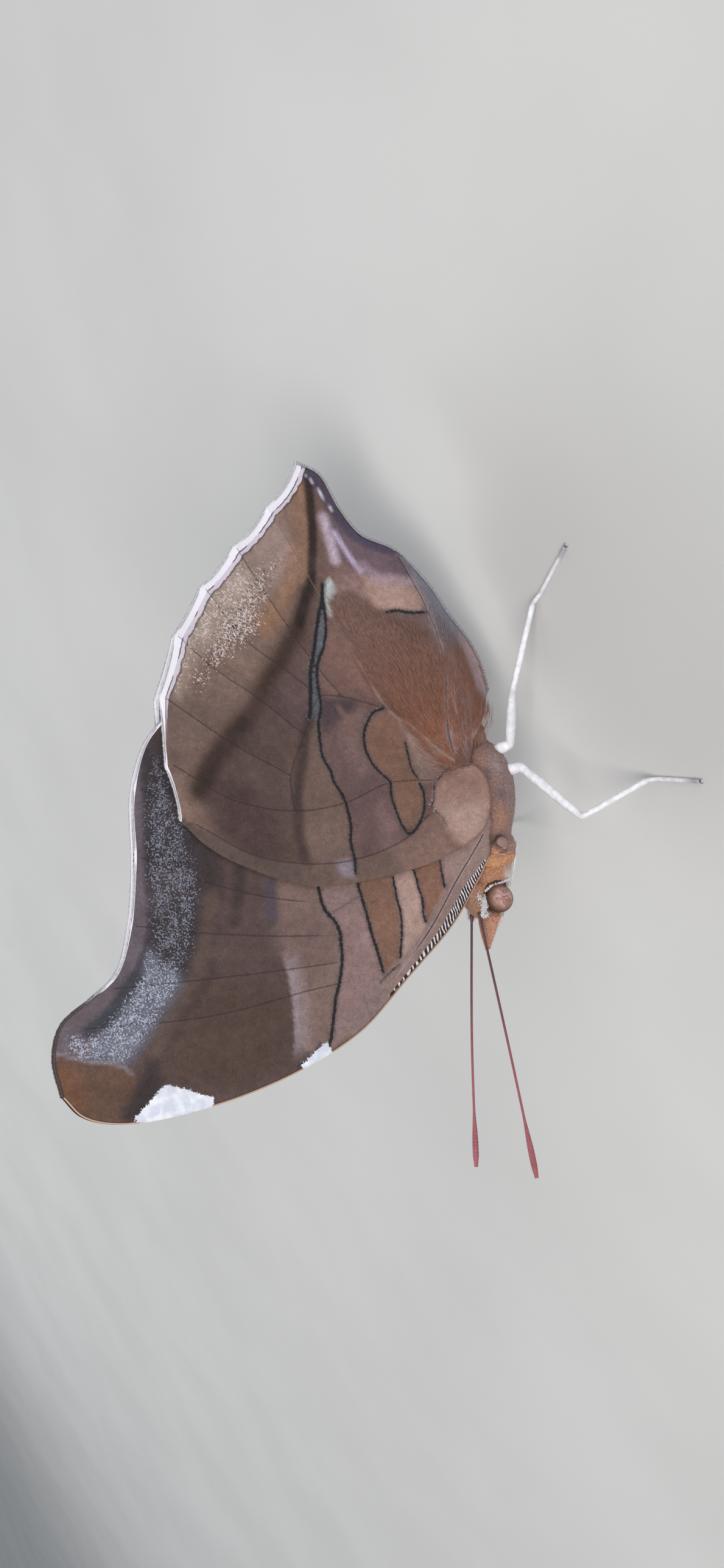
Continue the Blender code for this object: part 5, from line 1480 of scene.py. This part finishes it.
def leg(name, node, joints, material):
    """White leg with thigh, shin, five foot joints, small spines and a pair of claws."""
    coxa, hip, knee, ankle, toe = (np.array(p) for p in joints)
    heel = between(ankle, toe, 0.16)
    heel[2] = toe[2] + 0.05
    toe = toe + np.array((0.0, 0.0, 0.03))
    knots = [(between(start, end, share), radius) for start, end, stops in (
        (coxa, hip, ((0, 0.75), (0.6, 0.75))),
        (hip, knee, ((0, 0.6), (0.08, 0.56), (0.35, 0.66), (0.7, 0.6), (0.93, 0.45))),
        (knee, ankle, ((0, 0.47), (0.07, 0.36), (0.4, 0.4), (0.85, 0.34), (0.96, 0.38), (1, 0.29))),
    ) for share, radius in stops]
    foot = between(heel, toe, np.linspace(0, 1, FOOT_KNOTS)[:, None])
    knots += zip(foot, 0.24 + 0.035 * np.abs(np.sin(np.linspace(0, FOOT_JOINTS * math.pi, FOOT_KNOTS))))
    places, widths = (np.array(column) for column in zip(*knots))
    run = np.concatenate([[0.0], np.cumsum(np.linalg.norm(np.diff(places, axis=0), axis=1))])
    at = np.arange(0, run[-1], 0.16)
    line = np.stack([np.interp(at, run, places[:, k]) for k in range(3)], axis=1)
    for _ in range(2):
        line[1:-1] = 0.25 * line[:-2] + 0.5 * line[1:-1] + 0.25 * line[2:]
    points, faces, turns = rod(line, np.interp(at, run, widths), LEG_SIDES)
    along = np.concatenate([np.repeat(at, LEG_SIDES), [0.0, run[-1]]])
    knee_at, ankle_at, hip_at = run[7], run[12], run[2]
    white, grey, brown = tint(244, 243, 248), tint(170, 166, 174), tint(132, 112, 104)
    # The grey down one side of the thigh is painted shade
    shade = np.max([0.25 * ease(0.5, 0.95, np.cos(turns)) * (along < knee_at),
                    0.35 * np.exp(-((along - knee_at) / 0.4) ** 2),
                    0.4 * np.exp(-((along - ankle_at) / 0.4) ** 2),
                    0.9 * ease(run[-1] - 3.2, run[-1] - 0.4, along)], axis=0)[:, None]
    colour = white * (1 - shade) + grey * shade
    bare = (1 - ease(hip_at - 2.4, hip_at - 1.2, along))[:, None]
    colour = colour * (1 - bare) + brown * bare
    parts = [(points, faces, colour)]
    horn, spine = tint(88, 66, 52), tint(176, 170, 172)
    rows = [(between(knee, ankle, 0.15 + 0.05 * row), ankle - knee, -0.25) for row in range(SHIN_SPINES)]
    rows += [(between(heel, toe, 0.24 + 0.14 * row), toe - ankle, 0.25) for row in range(FOOT_SPINES)]
    for spot, way, rise in rows:
        lean = np.array((draw.uniform(-0.4, 0.4), draw.uniform(-0.3, 0.3), rise))
        start = spot + lean * 0.5
        parts.append(cone(start, start + 0.26 * unit(way[None])[0] + 0.2 * lean, 0.035, spine, 5))
    way = unit((toe - heel)[None])[0]
    across = np.cross(way, (0.0, 0.0, 1.0))
    for lean in (-1, 1):
        start = toe + across * 0.08 * lean
        bend = start + way * 0.28 + across * 0.16 * lean + np.array((0.0, 0.0, 0.02))
        tip = bend + way * 0.14 + across * 0.05 * lean - np.array((0.0, 0.0, 0.14))
        parts.append(cone(start, bend, 0.07, horn))
        parts.append(cone(bend - way * 0.03, tip, 0.05, horn))
    shape = joined(parts)
    shape[0][:, 2] = np.maximum(shape[0][:, 2], 0.0)
    made = mesh_piece(name, material, "leg_white", *shape)
    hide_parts(node)


def forelegs(material):
    """Small white brush feet folded along the breast and neck up to the eye."""
    for word, side in SIDES:
        places = [body_point(along, up, side * FORELEG_SIDE) for along, up in FORELEG_PATH]
        line = smooth_line(places, 0.14)
        share = np.linspace(0, 1, len(line))
        radii = FORELEG_RADIUS * (1.25 - 0.5 * ease(0.2, 1.0, share))
        shape, faces, _ = rod(line, radii, ROD_SIDES)
        colour = np.tile(tint(240, 238, 242), (len(shape), 1))
        made = mesh_piece("brush_foot_" + word, material, "leg_white", shape, faces, colour)
        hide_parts("foreleg_" + word)


def tongue():
    """The coiled tongue between the palps, with fine rings."""
    share = np.linspace(0, 1, COIL_KNOTS)
    turn = COIL_START + 2 * math.pi * COIL_TURNS * share
    across = np.stack([np.sin(turn), np.zeros(COIL_KNOTS), np.cos(turn)], axis=1)
    line = COIL_CENTRE - across * (COIL_RADIUS * (1 - 0.62 * share))[:, None]
    radii = COIL_TUBE * (1 + 0.06 * np.cos(1.6 * np.arange(COIL_KNOTS))) * (1 - 0.35 * share)
    points, faces, _ = rod(line, radii, ROD_SIDES)
    colour = np.tile(tint(92, 62, 44), (len(points), 1))
    material = scale_material("tongue_horn", 0.4, 0.15, 9.0, 0.2)
    made = mesh_piece("tongue_coil", material, "tongue", points, faces, colour)
    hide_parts("proboscis")


def pale_tufts(material):
    """White scales between the feeler's root and the eye, and a fine line along the eye's edge."""
    for word, side in SIDES:
        roots, length = [], []
        for line, count, spread, reach in WHITE_LINES:
            path = smooth_line(mirrored(line, side), 0.05)
            chosen = path[draw.integers(0, len(path), count)]
            roots.append(chosen + draw.normal(0, spread, (count, 3)) * (1, 0.25, 1))
            length.append(np.full(count, reach))
        roots, length = np.vstack(roots), np.concatenate(length)
        normal = unit((roots - np.array(HEAD_CENTRE)) * (0.6, 1.2, 0.8))
        along = unit(np.tile((0.75, 0.05 * side, -0.2), (len(roots), 1)) + normal * 0.04
                     + draw.normal(0, 0.1, (len(roots), 3)))
        colour = np.tile(tint(250, 247, 250), (len(roots), 1)) * draw.uniform(0.9, 1.08, len(roots))[:, None]
        length = length * draw.uniform(0.8, 1.3, len(roots))
        width = draw.uniform(0.07, 0.11, len(roots))
        colour = np.clip(colour, 0, 1)
        mesh_piece("white_tuft_" + word, material, "leg_white",
                   *blades(roots, along, normal, length, width, colour, body_uv(roots), 0.0, 1.0))


def tegulae():
    """A smooth scaly shield over each forewing's root."""
    material = scale_material("shield_scales", 0.7, 0.1, 7.0)
    for word, side in SIDES:
        centre, = mirrored((TEGULA_AT,), side)

        def shade(points):
            rim = ease(0.66, 0.95, from_tegula(points) / TEGULA_SIZE[0])[:, None]
            return tint(158, 128, 120) * (1 - rim) + tint(98, 72, 66) * rim

        egg("shield_" + word, centre, TEGULA_SIZE, material, "fur_brown", shade)


def stage_and_light():
    """A pale floor, soft light from several sides and the camera at the photo's angle."""
    scene = bpy.context.scene
    scene.view_settings.view_transform = "Standard"
    mesh = bpy.data.meshes.new("floor")
    square = ((-1, -1, 0), (1, -1, 0), (1, 1, 0), (-1, 1, 0))
    mesh.from_pydata([(FLOOR_HALF * x, FLOOR_HALF * y, z) for x, y, z in square], [], [(0, 1, 2, 3)])
    floor = bpy.data.objects.new("floor", mesh)
    scene.collection.objects.link(floor)
    g = Graph("floor_paper", 0.9, 0.2)
    g.colour = FLOOR_GREY
    g.brighten(g.ramp(0.3, 0.7, g.noise(0.02, 3.0), 0.97, 1.03))
    mesh.materials.append(g.finish())
    world = bpy.data.worlds.new("studio")
    world.use_nodes = True
    background = world.node_tree.nodes["Background"].inputs
    background["Color"].default_value = SKY
    background["Strength"].default_value = SKY_STRENGTH
    scene.world = world
    for name, place, width, power, colour in LAMPS:
        lamp = bpy.data.lights.new(name, "AREA")
        lamp.size = width
        lamp.energy = power
        lamp.color = colour
        made = bpy.data.objects.new(name, lamp)
        made.location = place
        aim = Vector(LAMP_AIM) - Vector(place)
        made.rotation_mode = "QUATERNION"
        made.rotation_quaternion = aim.to_track_quat("-Z", "Y")
        scene.collection.objects.link(made)
    c, s = math.cos(CAMERA_ELEVATION), math.sin(CAMERA_ELEVATION)
    back, level, rise = Vector((0.0, -c, s)), Vector((1.0, 0.0, 0.0)), Vector((0.0, s, c))
    c, s = math.cos(CAMERA_ROLL), math.sin(CAMERA_ROLL)
    right, up = level * c - rise * s, level * s + rise * c
    camera = bpy.data.cameras.new("camera")
    camera.lens = CAMERA_LENS
    camera.clip_start = 0.005
    camera.clip_end = 50
    made = bpy.data.objects.new("camera", camera)
    turn = Matrix((right, up, back)).transposed().to_4x4()
    spot = (Vector(CAMERA_TARGET) + back * CAMERA_DISTANCE) * MM
    made.matrix_world = Matrix.Translation(spot) @ turn
    scene.collection.objects.link(made)
    scene.camera = made


def main():
    stage_and_light()
    hair = coat_material("wing_hair", 0.85, 0.12, 4.0)
    wings(wing_material(), hair)
    body = skin()
    body_coats(body)
    tegulae()
    eyes()
    palps()
    antennae()
    scales = scale_material("leg_scales", 0.65, 0.06, 8.0)
    fuzz = coat_material("leg_fuzz", 0.8, 0.05, 6.0, 0.0)
    for word, _ in SIDES:
        leg("leg_mid_" + word, "midleg_" + word, MID_LEG[word], scales)
        leg("leg_hind_" + word, "hindleg_" + word, HIND_LEG[word], scales)
    forelegs(scales)
    tongue()
    pale_tufts(fuzz)


main()
